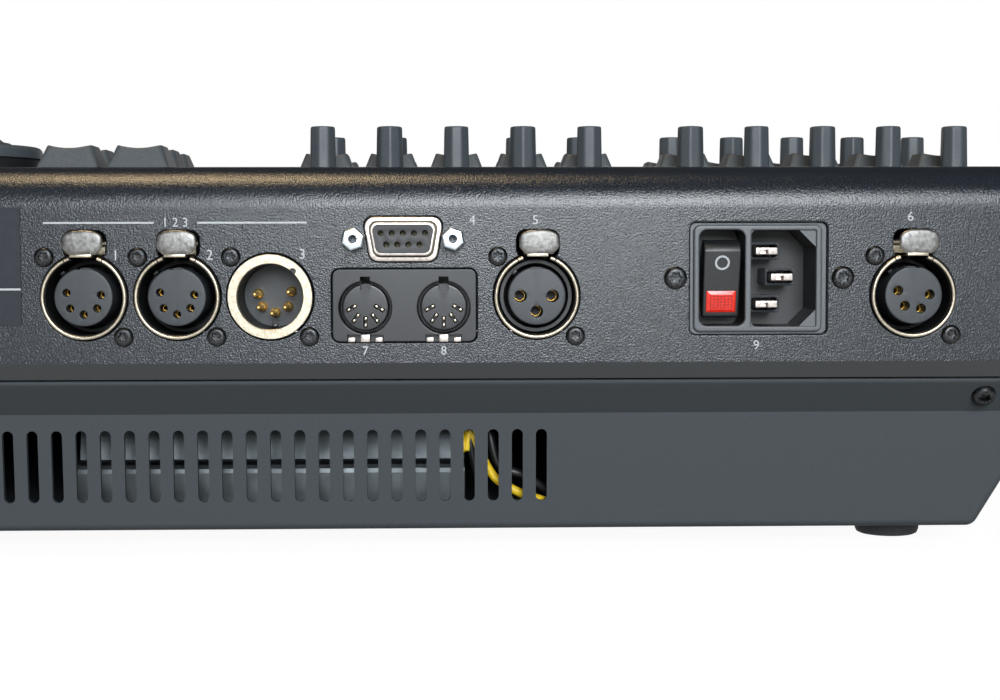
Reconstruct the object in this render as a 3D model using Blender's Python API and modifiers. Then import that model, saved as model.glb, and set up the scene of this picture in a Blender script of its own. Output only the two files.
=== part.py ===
"""A lighting fader wing: a desk unit with ten control columns, a key field, a dual encoder and rear sockets.

The operator sits at -Y and the sockets look towards +Y. The origin lies on the table, under the middle.
"""

import math

import bmesh
import bpy
from mathutils import Matrix, Vector

# Overall case, in metres
CASE_WIDTH = 0.454
CASE_DEPTH = 0.290
UPPER_HEIGHT = 0.0542
BASE_HEIGHT = 0.0405
CASE_WALL = 0.002
BASE_WALL = 0.0015
TOP_EDGE_RADIUS = 0.011
LIP_HEIGHT = 0.0043
LIP_INSET = 0.0035
END_BEVEL = 0.0015
GAP = 0.0003

# Base pan below the seam: a band that slopes inwards, then a nearly upright slotted wall
BAND_HEIGHT = 0.0094
BAND_INSET = 0.0085
WALL_LEAN = 0.002
SIDE_SLOPE = math.radians(30.5)
SLOT_WIDTH = 0.0029
SLOT_LENGTH = 0.019
SLOT_PITCH = 0.0063
SLOT_COUNT = 29
SLOT_DROP = 0.0042

# Feet
FOOT_HEIGHT = 0.0045
FOOT_RADIUS = 0.0088
FOOT_INSET_SIDE = 0.0425
FOOT_INSET_REAR = 0.033
FOOT_INSET_FRONT = 0.040

# Control panel and its grid of columns
PANEL_RIM_SIDE = 0.0085
PANEL_RIM_REAR = 0.0135
PANEL_THICKNESS = 0.002
PANEL_DROP = 0.0004
COLUMN_PITCH = 0.01848
COLUMNS_PER_GROUP = 5
FIRST_COLUMN_INSET = 0.0217
GROUP_STEP = 0.0282

# Distances of each row from the rear face
REAR_KNOB_ROW = 0.0442
REAR_KEY_ROW = 0.0612
FRONT_KNOB_ROW = 0.087
FRONT_KEY_ROW = 0.1033
FADER_REAR_END = 0.124
FADER_TRAVEL = 0.060
FLASH_KEY_ROW = 0.2085
COMMAND_FIRST_ROW = 0.0255
COMMAND_COLUMN_X = 0.0169

# Knobs
KNOB_HEIGHT = 0.0134
KNOB_FOOT_RADIUS = 0.0038
KNOB_TOP_RADIUS = 0.0035
KNOB_SHAFT_RADIUS = 0.0015
KNOB_SHAFT_LENGTH = 0.006

# Keys
KEY_SIZE = 0.0166
KEY_TOP_SIZE = 0.0116
KEY_RISE = 0.0064
KEY_DISH = 0.0009
KEY_WEB = 0.0015
KEY_PITCH = 0.0182
COMMAND_BLOCK_ROWS = 3
COMMAND_BLOCK_STEP = 6
KEYPAD_COLUMNS = 5
KEYPAD_ROWS = 5
KEYPAD_X = 0.1095

# Faders
CAP_LENGTH = 0.014
CAP_WIDTH = 0.0085
CAP_HEIGHT = 0.0085
CAP_WAIST = 0.0016
STEM_THICKNESS = 0.0012
STEM_LENGTH = 0.005
STEM_DEPTH = 0.009
FADER_BODY_WIDTH = 0.0105
FADER_BODY_HEIGHT = 0.0095
BANK_PLATE = 0.0012

# Dual encoder
DIAL_X = 0.0708
DIAL_ROW = 0.050
DIAL_RADIUS = 0.021
DIAL_RISE = 0.0076
DIAL_KNOB_RADIUS = 0.0128
DIAL_KNOB_RISE = 0.0023
DIAL_HUB_RADIUS = 0.0062
DIAL_SHAFT_RADIUS = 0.003
DIAL_HUB_DEPTH = 0.007

# Round sockets in the rear face, heights measured from the seam
SOCKET_LEVEL = 0.0211
SOCKET_PITCH = 0.0233
OUT_SOCKET_X = 0.0273
TIMECODE_X = -0.0864
LAMP_X = -0.1821
FLANGE_RADIUS = 0.0108
FLANGE_PROUD = 0.0012
SHELL_RADIUS = 0.0102
SHELL_BORE = 0.00975
SHELL_DEPTH = 0.0142
SOCKET_BODY_DEPTH = 0.022
INSERT_RADIUS = 0.00765
INSERT_RECESS = 0.0006
CONTACT_HOLE_RADIUS = 0.00135
CONTACT_CIRCLE = 0.0046
HOLE_DEPTH = 0.006
MALE_BORE = 0.0082
MALE_DEPTH = 0.0125
PIN_RADIUS = 0.0011
PIN_LENGTH = 0.0098

# Latch levers over the female sockets
TAB_WIDTH = 0.0100
TAB_HEIGHT = 0.0062
TAB_THICKNESS = 0.001
TAB_PROUD = 0.0044
TAB_OFFSET = 0.0005
TAB_LIFT = 0.0004
TAB_CHAMFER = 0.0017
LEVER_WIDTH = 0.006
LEVER_THICKNESS = 0.0012
LEVER_LIFT = 0.0135
LEVER_DEPTH = 0.012
LEVER_THROW = math.radians(5.0)
LEVER_BARREL_RADIUS = 0.0011
LEVER_BARREL_LENGTH = 0.007
POST_WIDTH = 0.004
POST_THICKNESS = 0.003

# Nine-way remote socket
REMOTE_X = -0.0528
REMOTE_LEVEL = 0.0355
REMOTE_WIDTH = 0.0196
REMOTE_HEIGHT = 0.0113
REMOTE_PROUD = 0.0008
REMOTE_INNER_WIDTH = 0.0163
REMOTE_INNER_HEIGHT = 0.0083
REMOTE_INNER_PROUD = 0.0044
REMOTE_BODY_DEPTH = 0.012
REMOTE_CONTACT_PITCH = 0.00277
JACK_SPACING = 0.025
JACK_RADIUS = 0.0029
JACK_PROUD = 0.0045
JACK_NECK_RADIUS = 0.0016

# Pair of round five-way sockets in one moulded block
DIN_X = -0.0530
DIN_LEVEL = 0.0188
DIN_WIDTH = 0.0362
DIN_HEIGHT = 0.0182
DIN_CORNER = 0.0019
DIN_SPACING = 0.0198
DIN_DROP = 0.0005
DIN_RADIUS = 0.0066
DIN_PLUG_RADIUS = 0.0057
DIN_RECESS = 0.0065
DIN_BODY_DEPTH = 0.018

# Mains inlet with its switch
INLET_X = -0.1428
INLET_LEVEL = 0.0254
INLET_WIDTH = 0.0336
INLET_HEIGHT = 0.0274
INLET_OPENING_MARGIN = 0.0004
INLET_FLANGE_WIDTH = 0.050
INLET_FLANGE_HEIGHT = 0.031
INLET_BODY_DEPTH = 0.028
INLET_WINDOW_HEIGHT = 0.0244
SWITCH_WINDOW_WIDTH = 0.0118
SWITCH_OFFSET = 0.0090
SWITCH_POCKET = 0.013
CAVITY_WIDTH = 0.0166
CAVITY_OFFSET = 0.0066
CAVITY_DEPTH = 0.016
CAVITY_CORNER = 0.0042
BLADE_SPACING = 0.007
BLADE_STEP = 0.004
BLADE_SHIFT = 0.0028
BLADE_WIDTH = 0.004
BLADE_THICKNESS = 0.002
BLADE_LENGTH = 0.0135
COLLAR_WIDTH = 0.0074
COLLAR_HEIGHT = 0.0043
COLLAR_LENGTH = 0.0105
ROCKER_HEIGHT = 0.0202
ROCKER_WIDTH = 0.0094
ROCKER_PIVOT_DEPTH = 0.0035
ROCKER_PIN_RADIUS = 0.0012
ROCKER_LEAN = 0.004
ROCKER_EDGE = 0.007
ROCKER_BACK = 0.005

# Inside the case
BOARD_THICKNESS = 0.0016
BOARD_REAR = 0.052
BOARD_FRONT_MARGIN = 0.012
BOARD_SIDE_MARGIN = 0.012
SUPPLY_LEFT = -0.0684
SUPPLY_RIGHT = 0.0362
SUPPLY_FRONT = 0.085
SUPPLY_REAR = 0.0245
SUPPLY_TOP = 0.0213
SUPPLY_EDGE = 0.003
SUPPLY_LEDGE = 0.006
SUPPLY_SLANT = 0.003
SUPPLY_STEP = 0.013
WIRE_RADIUS = 0.0012
WIRE_DEPTH = 0.019

# Heights that follow from the sizes above
BASE_BOTTOM = FOOT_HEIGHT
SEAM = FOOT_HEIGHT + BASE_HEIGHT
BASE_TOP = SEAM - GAP
CASE_TOP = SEAM + UPPER_HEIGHT
PANEL_TOP = CASE_TOP - PANEL_DROP
PANEL_UNDER = PANEL_TOP - PANEL_THICKNESS
REAR = (CASE_DEPTH - JACK_PROUD) / 2
FRONT = REAR - CASE_DEPTH
HALF_WIDTH = CASE_WIDTH / 2
FADER_REST = FADER_REAR_END + FADER_TRAVEL
BANK_TOP = PANEL_UNDER - GAP
BANK_BOTTOM = BANK_TOP - FADER_BODY_HEIGHT
BOARD_TOP = BANK_BOTTOM - BANK_PLATE - GAP


def clear_scene():
    for obj in list(bpy.data.objects):
        bpy.data.objects.remove(obj, do_unlink=True)


def collection(name, hidden=False):
    made = bpy.data.collections.new(name)
    bpy.context.scene.collection.children.link(made)
    made.hide_render = hidden
    return made


def material(name, colour, roughness, metallic=0.0):
    made = bpy.data.materials.new(name)
    made.use_nodes = True
    shader = made.node_tree.nodes["Principled BSDF"]
    shader.inputs["Base Color"].default_value = (*colour, 1.0)
    shader.inputs["Roughness"].default_value = roughness
    shader.inputs["Metallic"].default_value = metallic
    return made


def add(name, mesh, finish=None, location=(0, 0, 0)):
    """An object in the parts collection, or a hidden cutter where it has no finish."""
    obj = bpy.data.objects.new(name, mesh)
    obj.location = location
    if finish is None:
        CUTTERS.objects.link(obj)
        obj.hide_render = True
        obj.display_type = "WIRE"
    else:
        PARTS.objects.link(obj)
        mesh.materials.clear()
        mesh.materials.append(finish)
    return obj


def mesh_from(name, bm):
    mesh = bpy.data.meshes.new(name)
    bmesh.ops.recalc_face_normals(bm, faces=bm.faces)
    bm.to_mesh(mesh)
    bm.free()
    return mesh


def block_mesh(name, low, high):
    """A box between two corners."""
    bm = bmesh.new()
    bmesh.ops.create_cube(bm, size=1.0)
    for vertex in bm.verts:
        vertex.co = Vector([(a + b) / 2 + c * (b - a) for a, b, c in zip(low, high, vertex.co)])
    return mesh_from(name, bm)


def block(name, low, high, finish=None):
    return add(name, block_mesh(name, low, high), finish)


def rod_mesh(name, radius, length, segments=16, top_radius=None):
    """A cylinder or cone that stands on z = 0."""
    bm = bmesh.new()
    end = radius if top_radius is None else top_radius
    bmesh.ops.create_cone(
        bm, cap_ends=True, segments=segments, radius1=radius, radius2=end, depth=length
    )
    bmesh.ops.translate(bm, verts=bm.verts, vec=(0, 0, length / 2))
    return mesh_from(name, bm)


def rear_rod(name, radius, x, z, front, back, segments=16):
    """A cylinder along Y, between two depths measured in from the rear face."""
    obj = add(name, rod_mesh(name, radius, back - front, segments))
    obj.location = (x, REAR - front, z)
    obj.rotation_euler = (math.pi / 2, 0, 0)
    return obj


def turned(name, profile, finish=None, segments=32):
    """A closed profile of (radius, height) points turned about Z by a Screw modifier."""
    bm = bmesh.new()
    points = [bm.verts.new((r, 0, h)) for r, h in profile]
    for a, b in zip(points, points[1:]):
        bm.edges.new((a, b))
    if profile[0][0] > 0:
        bm.edges.new((points[-1], points[0]))
    mesh = bpy.data.meshes.new(name)
    bm.to_mesh(mesh)
    bm.free()
    obj = add(name, mesh, finish)
    screw = obj.modifiers.new("Turn", "SCREW")
    screw.steps = segments
    screw.render_steps = segments
    screw.use_merge_vertices = True
    screw.merge_threshold = 0.00001
    screw.use_smooth_shade = True
    return obj


def outline_mesh(name, points, thickness):
    """A flat closed outline in XY, filled and extruded to a given thickness along Z."""
    curve = bpy.data.curves.new(name, "CURVE")
    curve.dimensions = "2D"
    curve.fill_mode = "BOTH"
    curve.extrude = thickness / 2
    spline = curve.splines.new("POLY")
    spline.points.add(len(points) - 1)
    for target, (x, y) in zip(spline.points, points):
        target.co = (x, y, 0, 1)
    spline.use_cyclic_u = True
    guide = bpy.data.objects.new(name, curve)
    bpy.context.scene.collection.objects.link(guide)
    mesh = bpy.data.meshes.new_from_object(guide.evaluated_get(bpy.context.evaluated_depsgraph_get()))
    bpy.data.objects.remove(guide)
    bpy.data.curves.remove(curve)
    bm = bmesh.new()
    bm.from_mesh(mesh)
    bmesh.ops.remove_doubles(bm, verts=bm.verts, dist=0.00001)
    bmesh.ops.recalc_face_normals(bm, faces=bm.faces)
    bm.to_mesh(mesh)
    bm.free()
    mesh.name = name
    return mesh


def upright(obj, x, depth, z):
    """Turns an outline drawn in XY so that it stands in XZ and its thickness runs along Y."""
    obj.rotation_euler = (math.pi / 2, 0, 0)
    obj.location = (x, REAR - depth, z)
    return obj


def arc(centre, radius, start, end, steps):
    """Points on an arc, from one angle to the other in degrees."""
    angles = [math.radians(start + (end - start) * i / steps) for i in range(steps + 1)]
    return [(centre[0] + radius * math.cos(a), centre[1] + radius * math.sin(a)) for a in angles]


def rounded_rectangle(width, height, radius, steps=3):
    x = width / 2 - radius
    y = height / 2 - radius
    corners = ((x, y, 0), (-x, y, 90), (-x, -y, 180), (x, -y, 270))
    points = []
    for cx, cy, turn in corners:
        points += arc((cx, cy), radius, turn, turn + 90, steps)
    return points


def boolean(target, tool, operation):
    modifier = target.modifiers.new(operation.title(), "BOOLEAN")
    modifier.operation = operation
    modifier.solver = "EXACT"
    modifier.object = tool
    return target


def cut(target, *tools):
    for tool in tools:
        boolean(target, tool, "DIFFERENCE")
    return target


def join(target, *tools):
    for tool in tools:
        boolean(target, tool, "UNION")
    return target


def gather(name, objects):
    """Several separate cutter objects made into one mesh, so that one Boolean takes them all."""
    bm = bmesh.new()
    graph = bpy.context.evaluated_depsgraph_get()
    for obj in objects:
        evaluated = obj.evaluated_get(graph)
        part = bpy.data.meshes.new_from_object(evaluated)
        part.transform(evaluated.matrix_world)
        bm.from_mesh(part)
        bpy.data.meshes.remove(part)
        bpy.data.objects.remove(obj, do_unlink=True)
    bmesh.ops.remove_doubles(bm, verts=bm.verts, dist=0.000001)
    mesh = bpy.data.meshes.new(name)
    bm.to_mesh(mesh)
    bm.free()
    return add(name, mesh)


def column_positions():
    """X of the ten control columns, from the operator's left."""
    first = -HALF_WIDTH + FIRST_COLUMN_INSET
    second = first + COLUMN_PITCH * (COLUMNS_PER_GROUP - 1) + GROUP_STEP
    return [start + COLUMN_PITCH * i for start in (first, second) for i in range(COLUMNS_PER_GROUP)]


def command_positions():
    """(x, depth) of each command key: two blocks of two columns and a keypad to their right."""
    places = []
    for first in (0, COMMAND_BLOCK_STEP):
        for row in range(first, first + COMMAND_BLOCK_ROWS):
            for column in range(2):
                places.append((COMMAND_COLUMN_X + KEY_PITCH * column, COMMAND_FIRST_ROW + KEY_PITCH * row))
    for row in range(KEYPAD_ROWS):
        for column in range(KEYPAD_COLUMNS):
            places.append((KEYPAD_X + KEY_PITCH * column, COMMAND_FIRST_ROW + KEY_PITCH * row))
    return places


def case_profile(inset):
    """The upper case's outline across the depth, as (y, z), drawn in by the wall where it is a cutter."""
    radius = TOP_EDGE_RADIUS - inset
    side = REAR - inset
    top = CASE_TOP - inset
    foot = SEAM - (0.001 if inset else 0)
    lip = REAR - LIP_INSET - inset
    points = [(lip, foot), (side, SEAM + LIP_HEIGHT)]
    points += arc((side - radius, top - radius), radius, 0, 90, 6)
    mirrored = [(REAR + FRONT - y, z) for y, z in reversed(points)]
    return points + mirrored


def case_body(name, inset, finish=None):
    """The case profile extruded across the width."""
    width = CASE_WIDTH - 2 * inset
    obj = add(name, outline_mesh(name, case_profile(inset), width), finish)
    obj.matrix_world = Matrix(((0, 0, 1, 0), (1, 0, 0, 0), (0, 1, 0, 0), (0, 0, 0, 1)))
    return obj


def rear_cutters():
    """Openings in the rear face for every socket, lever and screw."""
    tools = []
    through = (-0.002, CASE_WALL + 0.004)
    for x in [*FEMALE_X.values(), MALE_X]:
        tools.append(rear_rod("shell_hole", SHELL_RADIUS + GAP, x, SOCKET_Z, *through, 32))
    for x in FEMALE_X.values():
        drop = LEVER_DEPTH * math.tan(LEVER_THROW)
        low = SOCKET_Z + LEVER_LIFT - LEVER_THICKNESS / 2 - drop - GAP
        high = SOCKET_Z + LEVER_LIFT + LEVER_THICKNESS / 2 + GAP
        middle = x - TAB_OFFSET
        half = LEVER_WIDTH / 2 + GAP
        back = REAR - through[1]
        tools.append(block("lever_slot", (middle - half, back, low), (middle + half, REAR - through[0], high)))
    for side in (-1, 1):
        tools.append(
            rear_rod("jack_hole", JACK_NECK_RADIUS + GAP, REMOTE_X + side * JACK_SPACING / 2, REMOTE_Z, *through)
        )
    depth = through[1] - through[0]
    margin = GAP + INLET_OPENING_MARGIN
    middle = (through[0] + through[1]) / 2
    windows = (
        (REMOTE_X, REMOTE_Z, tapered_outline(REMOTE_WIDTH + 2 * GAP, REMOTE_HEIGHT + 2 * GAP)),
        (DIN_X, DIN_Z, rounded_rectangle(DIN_WIDTH + 2 * GAP, DIN_HEIGHT + 2 * GAP, DIN_CORNER)),
        (INLET_X, INLET_Z, rounded_rectangle(INLET_WIDTH + 2 * margin, INLET_HEIGHT + 2 * margin, 0.001, 2)),
    )
    for x, z, outline in windows:
        tools.append(upright(add("window", outline_mesh("window", outline, depth)), x, middle, z))
    bpy.context.view_layer.update()
    return gather("rear_openings", tools)


def tapered_outline(width, height):
    """The D outline of the nine-way socket: wide at the top, its corners rounded."""
    taper = math.radians(10)
    radius = height * 0.22
    top = width / 2 - radius
    bottom = top - (height - 2 * radius) * math.tan(taper)
    y = height / 2 - radius
    points = arc((top, y), radius, -10, 90, 4) + arc((-top, y), radius, 90, 190, 4)
    return points + arc((-bottom, -y), radius, 190, 270, 3) + arc((bottom, -y), radius, 270, 350, 3)


def build_upper_case():
    """Folded steel case with rounded long edges, an open underside and the control panel's opening."""
    shell = case_body("upper_case", 0.0, STEEL)
    bevel = shell.modifiers.new("Ends", "BEVEL")
    bevel.width = END_BEVEL
    bevel.segments = 2
    bevel.limit_method = "ANGLE"
    bevel.angle_limit = math.radians(60)
    inside = case_body("case_inside", CASE_WALL)
    low = (-HALF_WIDTH + PANEL_RIM_SIDE, FRONT + PANEL_RIM_REAR, CASE_TOP - 0.01)
    high = (HALF_WIDTH - PANEL_RIM_SIDE, REAR - PANEL_RIM_REAR, CASE_TOP + 0.01)
    opening = block("panel_opening", low, high)
    cut(shell, inside, opening, rear_cutters())


def key_windows():
    """One window in the panel for each group of keys, a clearance larger than the keys."""
    half = KEY_SIZE / 2 + GAP
    tools = []
    groups = (COLUMN_X[:COLUMNS_PER_GROUP], COLUMN_X[COLUMNS_PER_GROUP:])
    fields = [(xs[0], xs[-1], row, row) for xs in groups for row in (REAR_KEY_ROW, FRONT_KEY_ROW, FLASH_KEY_ROW)]
    for row in (0, COMMAND_BLOCK_STEP):
        first = COMMAND_FIRST_ROW + KEY_PITCH * row
        last = first + KEY_PITCH * (COMMAND_BLOCK_ROWS - 1)
        fields.append((COMMAND_COLUMN_X, COMMAND_COLUMN_X + KEY_PITCH, first, last))
    last = COMMAND_FIRST_ROW + KEY_PITCH * (KEYPAD_ROWS - 1)
    fields.append((KEYPAD_X, KEYPAD_X + KEY_PITCH * (KEYPAD_COLUMNS - 1), COMMAND_FIRST_ROW, last))
    for left, right, near, far in fields:
        low = (left - half, REAR - far - half, PANEL_UNDER - 0.001)
        high = (right + half, REAR - near + half, PANEL_TOP + 0.001)
        tools.append(block("key_window", low, high))
    return tools


def build_control_panel():
    """Flat metal panel that drops into the case opening, pierced for every control."""
    low = (-HALF_WIDTH + PANEL_RIM_SIDE + GAP, FRONT + PANEL_RIM_REAR + GAP, PANEL_UNDER)
    high = (HALF_WIDTH - PANEL_RIM_SIDE - GAP, REAR - PANEL_RIM_REAR - GAP, PANEL_TOP)
    panel = block("control_panel", low, high, PANEL)
    tools = key_windows()
    for x in COLUMN_X:
        for row in (REAR_KNOB_ROW, FRONT_KNOB_ROW):
            hole = add("knob_hole", rod_mesh("knob_hole", KNOB_SHAFT_RADIUS + GAP, PANEL_THICKNESS * 2, 10))
            hole.location = (x, REAR - row, PANEL_UNDER - PANEL_THICKNESS / 2)
            tools.append(hole)
        half = STEM_THICKNESS / 2 + GAP
        run = STEM_LENGTH / 2 + 2 * GAP
        low = (x - half, REAR - FADER_REST - run, PANEL_UNDER - 0.001)
        high = (x + half, REAR - FADER_REAR_END + run, PANEL_TOP + 0.001)
        tools.append(block("fader_slot", low, high))
    hub = add("hub_hole", rod_mesh("hub_hole", DIAL_HUB_RADIUS + GAP, PANEL_THICKNESS * 2, 24))
    hub.location = (DIAL_X, REAR - DIAL_ROW, PANEL_UNDER - PANEL_THICKNESS / 2)
    tools.append(hub)
    bpy.context.view_layer.update()
    cut(panel, gather("panel_openings", tools))


def base_ring(inset, z):
    """Half width and rear depth of the base pan's outside at a height, less a wall inset."""
    fold = BASE_TOP - BAND_HEIGHT
    half = HALF_WIDTH - GAP - (BASE_TOP - z) * math.tan(SIDE_SLOPE)
    if z >= fold:
        rear = REAR - LIP_INSET - BAND_INSET * (BASE_TOP - z) / BAND_HEIGHT
    else:
        rear = REAR - LIP_INSET - BAND_INSET - WALL_LEAN * (fold - z) / (fold - BASE_BOTTOM)
    front = FRONT + LIP_INSET + (BASE_TOP - z) * math.tan(SIDE_SLOPE)
    return half - inset, rear - inset, front + inset


def base_loft(name, inset, levels, finish=None):
    """The pan's solid form as a stack of rectangles of changing size."""
    bm = bmesh.new()
    rings = []
    for z in levels:
        half, rear, front = base_ring(inset, z)
        corners = ((half, rear), (-half, rear), (-half, front), (half, front))
        rings.append([bm.verts.new((x, y, z)) for x, y in corners])
    for lower, upper in zip(rings, rings[1:]):
        for i in range(4):
            bm.faces.new((lower[i], lower[(i + 1) % 4], upper[(i + 1) % 4], upper[i]))
    bm.faces.new(rings[0])
    bm.faces.new(rings[-1])
    return add(name, mesh_from(name, bm), finish)


def build_base_housing():
    """Bent pan under the case: sloping sides, a slotted rear wall and an open top."""
    fold = BASE_TOP - BAND_HEIGHT
    pan = base_loft("base_housing", 0.0, (BASE_BOTTOM, fold, BASE_TOP), PAN)
    bevel = pan.modifiers.new("Corners", "BEVEL")
    bevel.width = 0.002
    bevel.segments = 2
    bevel.limit_method = "ANGLE"
    bevel.angle_limit = math.radians(45)
    floor = BASE_BOTTOM + BASE_WALL
    inside = base_loft("pan_inside", BASE_WALL, (floor, fold, BASE_TOP + 0.002))
    tools = []
    outline = []
    reach = SLOT_LENGTH / 2 - SLOT_WIDTH / 2
    outline += arc((0, reach), SLOT_WIDTH / 2, 0, 180, 4)
    outline += arc((0, -reach), SLOT_WIDTH / 2, 180, 360, 4)
    mesh = outline_mesh("slot", outline, 0.016)
    for i in range(SLOT_COUNT):
        x = SLOT_PITCH * (i - (SLOT_COUNT - 1) / 2)
        slot = add("slot", mesh.copy())
        tools.append(upright(slot, x, LIP_INSET + BAND_INSET, fold - SLOT_DROP - SLOT_LENGTH / 2))
    bpy.context.view_layer.update()
    cut(pan, inside, gather("slots", tools))


def build_feet():
    """Four rubber feet, one under each corner."""
    for side, x in (("left", -1), ("right", 1)):
        for end, y in (("front", FRONT + FOOT_INSET_FRONT), ("rear", REAR - FOOT_INSET_REAR)):
            name = f"foot_{end}_{side}"
            r = FOOT_RADIUS
            top = FOOT_HEIGHT - GAP
            profile = [(0, top), (r, top), (r, 0.0008), (r - 0.0008, 0), (0, 0)]
            foot = turned(name, profile, RUBBER, 20)
            foot.location = (x * (HALF_WIDTH - FOOT_INSET_SIDE), y, 0)


def socket_blank(name, x, bore, floor, finish):
    """A turned socket shell that looks out of the rear face, open to the depth of its floor."""
    face = FLANGE_PROUD
    profile = [
        (0, -floor),
        (bore, -floor),
        (bore, face),
        (FLANGE_RADIUS, face),
        (FLANGE_RADIUS, GAP),
        (SHELL_RADIUS, GAP),
        (SHELL_RADIUS, -SOCKET_BODY_DEPTH),
        (0, -SOCKET_BODY_DEPTH),
    ]
    shell = turned(name, profile, finish)
    shell.location = (x, REAR, SOCKET_Z)
    shell.rotation_euler = (-math.pi / 2, 0, 0)
    return shell


def contact_angles(count):
    """Directions of the contacts in a round socket, seen from outside, in degrees."""
    spread = {3: (177, 270, 1), 4: (164, 231, 299, 1), 5: (165, 220, 270, 320, 7)}
    return [math.radians(a) for a in spread[count]]


def build_female_socket(name, x, contacts):
    """Metal shell with a round plastic insert, pierced for its contacts."""
    shell = socket_blank(name, x, SHELL_BORE, SHELL_DEPTH, NICKEL)
    core = rear_rod(f"{name}_core", INSERT_RADIUS, x, SOCKET_Z, INSERT_RECESS, SHELL_DEPTH + 0.001, 24)
    holes = []
    for angle in contact_angles(contacts):
        hx = x - CONTACT_CIRCLE * math.cos(angle)
        hz = SOCKET_Z + CONTACT_CIRCLE * math.sin(angle)
        holes.append(rear_rod("contact_hole", CONTACT_HOLE_RADIUS, hx, hz, -0.003, INSERT_RECESS + HOLE_DEPTH, 8))
    bpy.context.view_layer.update()
    join(shell, core)
    cut(shell, gather(f"{name}_holes", holes))


def build_male_socket(name, x):
    """Metal shell with a broad rim around five bare pins."""
    shell = socket_blank(name, x, MALE_BORE, MALE_DEPTH, NICKEL)
    pins = []
    for angle in contact_angles(5):
        px = x + CONTACT_CIRCLE * math.cos(angle)
        pz = SOCKET_Z + CONTACT_CIRCLE * math.sin(angle)
        pins.append(rear_rod("pin", PIN_RADIUS, px, pz, MALE_DEPTH - PIN_LENGTH, MALE_DEPTH + 0.001, 8))
    bpy.context.view_layer.update()
    join(shell, gather(f"{name}_pins", pins))


def build_latch(name, x):
    """Thumb lever of a female socket: an eight-sided tab on an arm that turns about a pin behind the face."""
    pivot = Vector((x - TAB_OFFSET, REAR - LEVER_DEPTH, SOCKET_Z + LEVER_LIFT))
    width = TAB_WIDTH / 2
    height = TAB_HEIGHT / 2
    corners = [(width, height - TAB_CHAMFER), (width - TAB_CHAMFER, height)]
    corners += [(-a, b) for a, b in reversed(corners)]
    corners += [(a, -b) for a, b in reversed(corners)]
    tab = add(name, outline_mesh(name, corners, TAB_THICKNESS), NICKEL)
    tab.data.transform(Matrix.Rotation(math.pi / 2, 4, "X"))
    tab.data.transform(Matrix.Translation((0, LEVER_DEPTH + TAB_PROUD - TAB_THICKNESS / 2, TAB_LIFT)))
    tab.location = pivot
    half = LEVER_WIDTH / 2
    low = (-half, 0, -LEVER_THICKNESS / 2)
    high = (half, LEVER_DEPTH + TAB_PROUD - TAB_THICKNESS / 2, LEVER_THICKNESS / 2)
    arm = block(f"{name}_arm", low, high)
    arm.location = pivot
    barrel = add(f"{name}_barrel", rod_mesh("barrel", LEVER_BARREL_RADIUS, LEVER_BARREL_LENGTH, 10))
    barrel.rotation_euler = (0, math.pi / 2, 0)
    barrel.location = pivot - Vector((LEVER_BARREL_LENGTH / 2, 0, 0))
    join(tab, arm, barrel)


def build_lever_posts(socket, x):
    """Post on a female socket's shell that carries the lever's pin."""
    top = SOCKET_Z + LEVER_LIFT - LEVER_BARREL_RADIUS - GAP
    half = POST_THICKNESS / 2
    low = (x - POST_WIDTH / 2, REAR - LEVER_DEPTH - half, SOCKET_Z + SHELL_RADIUS - 0.001)
    high = (x + POST_WIDTH / 2, REAR - LEVER_DEPTH + half, top)
    join(bpy.data.objects[socket], block(f"{socket}_post", low, high))


def build_remote_socket():
    """Nine-way socket: a plated shell on a flange behind the face, with two threaded hex posts."""
    depth = REMOTE_BODY_DEPTH
    outline = tapered_outline(REMOTE_WIDTH, REMOTE_HEIGHT)
    body = add("remote_socket", outline_mesh("remote_socket", outline, depth + REMOTE_PROUD), NICKEL)
    upright(body, REMOTE_X, (depth - REMOTE_PROUD) / 2, REMOTE_Z)
    inner = tapered_outline(REMOTE_INNER_WIDTH, REMOTE_INNER_HEIGHT)
    nose = add("remote_nose", outline_mesh("remote_nose", inner, depth + REMOTE_INNER_PROUD))
    upright(nose, REMOTE_X, (depth - REMOTE_INNER_PROUD) / 2, REMOTE_Z)
    plate_front = CASE_WALL + GAP
    half = JACK_SPACING / 2 + 0.003
    low = (REMOTE_X - half, REAR - plate_front - 0.001, REMOTE_Z - REMOTE_HEIGHT / 2)
    high = (REMOTE_X + half, REAR - plate_front, REMOTE_Z + REMOTE_HEIGHT / 2)
    pieces = [nose, block("remote_flange", low, high)]
    for side in (-1, 1):
        x = REMOTE_X + side * JACK_SPACING / 2
        pieces.append(rear_rod("jack_neck", JACK_NECK_RADIUS, x, REMOTE_Z, -0.001, plate_front + 0.0005, 10))
        pieces.append(rear_rod("jack", JACK_RADIUS, x, REMOTE_Z, -JACK_PROUD, -GAP, 6))
    holes = []
    for row, count in ((0.5, 5), (-0.5, 4)):
        for i in range(count):
            x = REMOTE_X + REMOTE_CONTACT_PITCH * (i - (count - 1) / 2)
            z = REMOTE_Z + REMOTE_CONTACT_PITCH * row
            holes.append(rear_rod("remote_hole", 0.0006, x, z, -REMOTE_INNER_PROUD - 0.001, 0, 6))
    bpy.context.view_layer.update()
    join(body, *pieces)
    cut(body, gather("remote_holes", holes))


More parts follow.
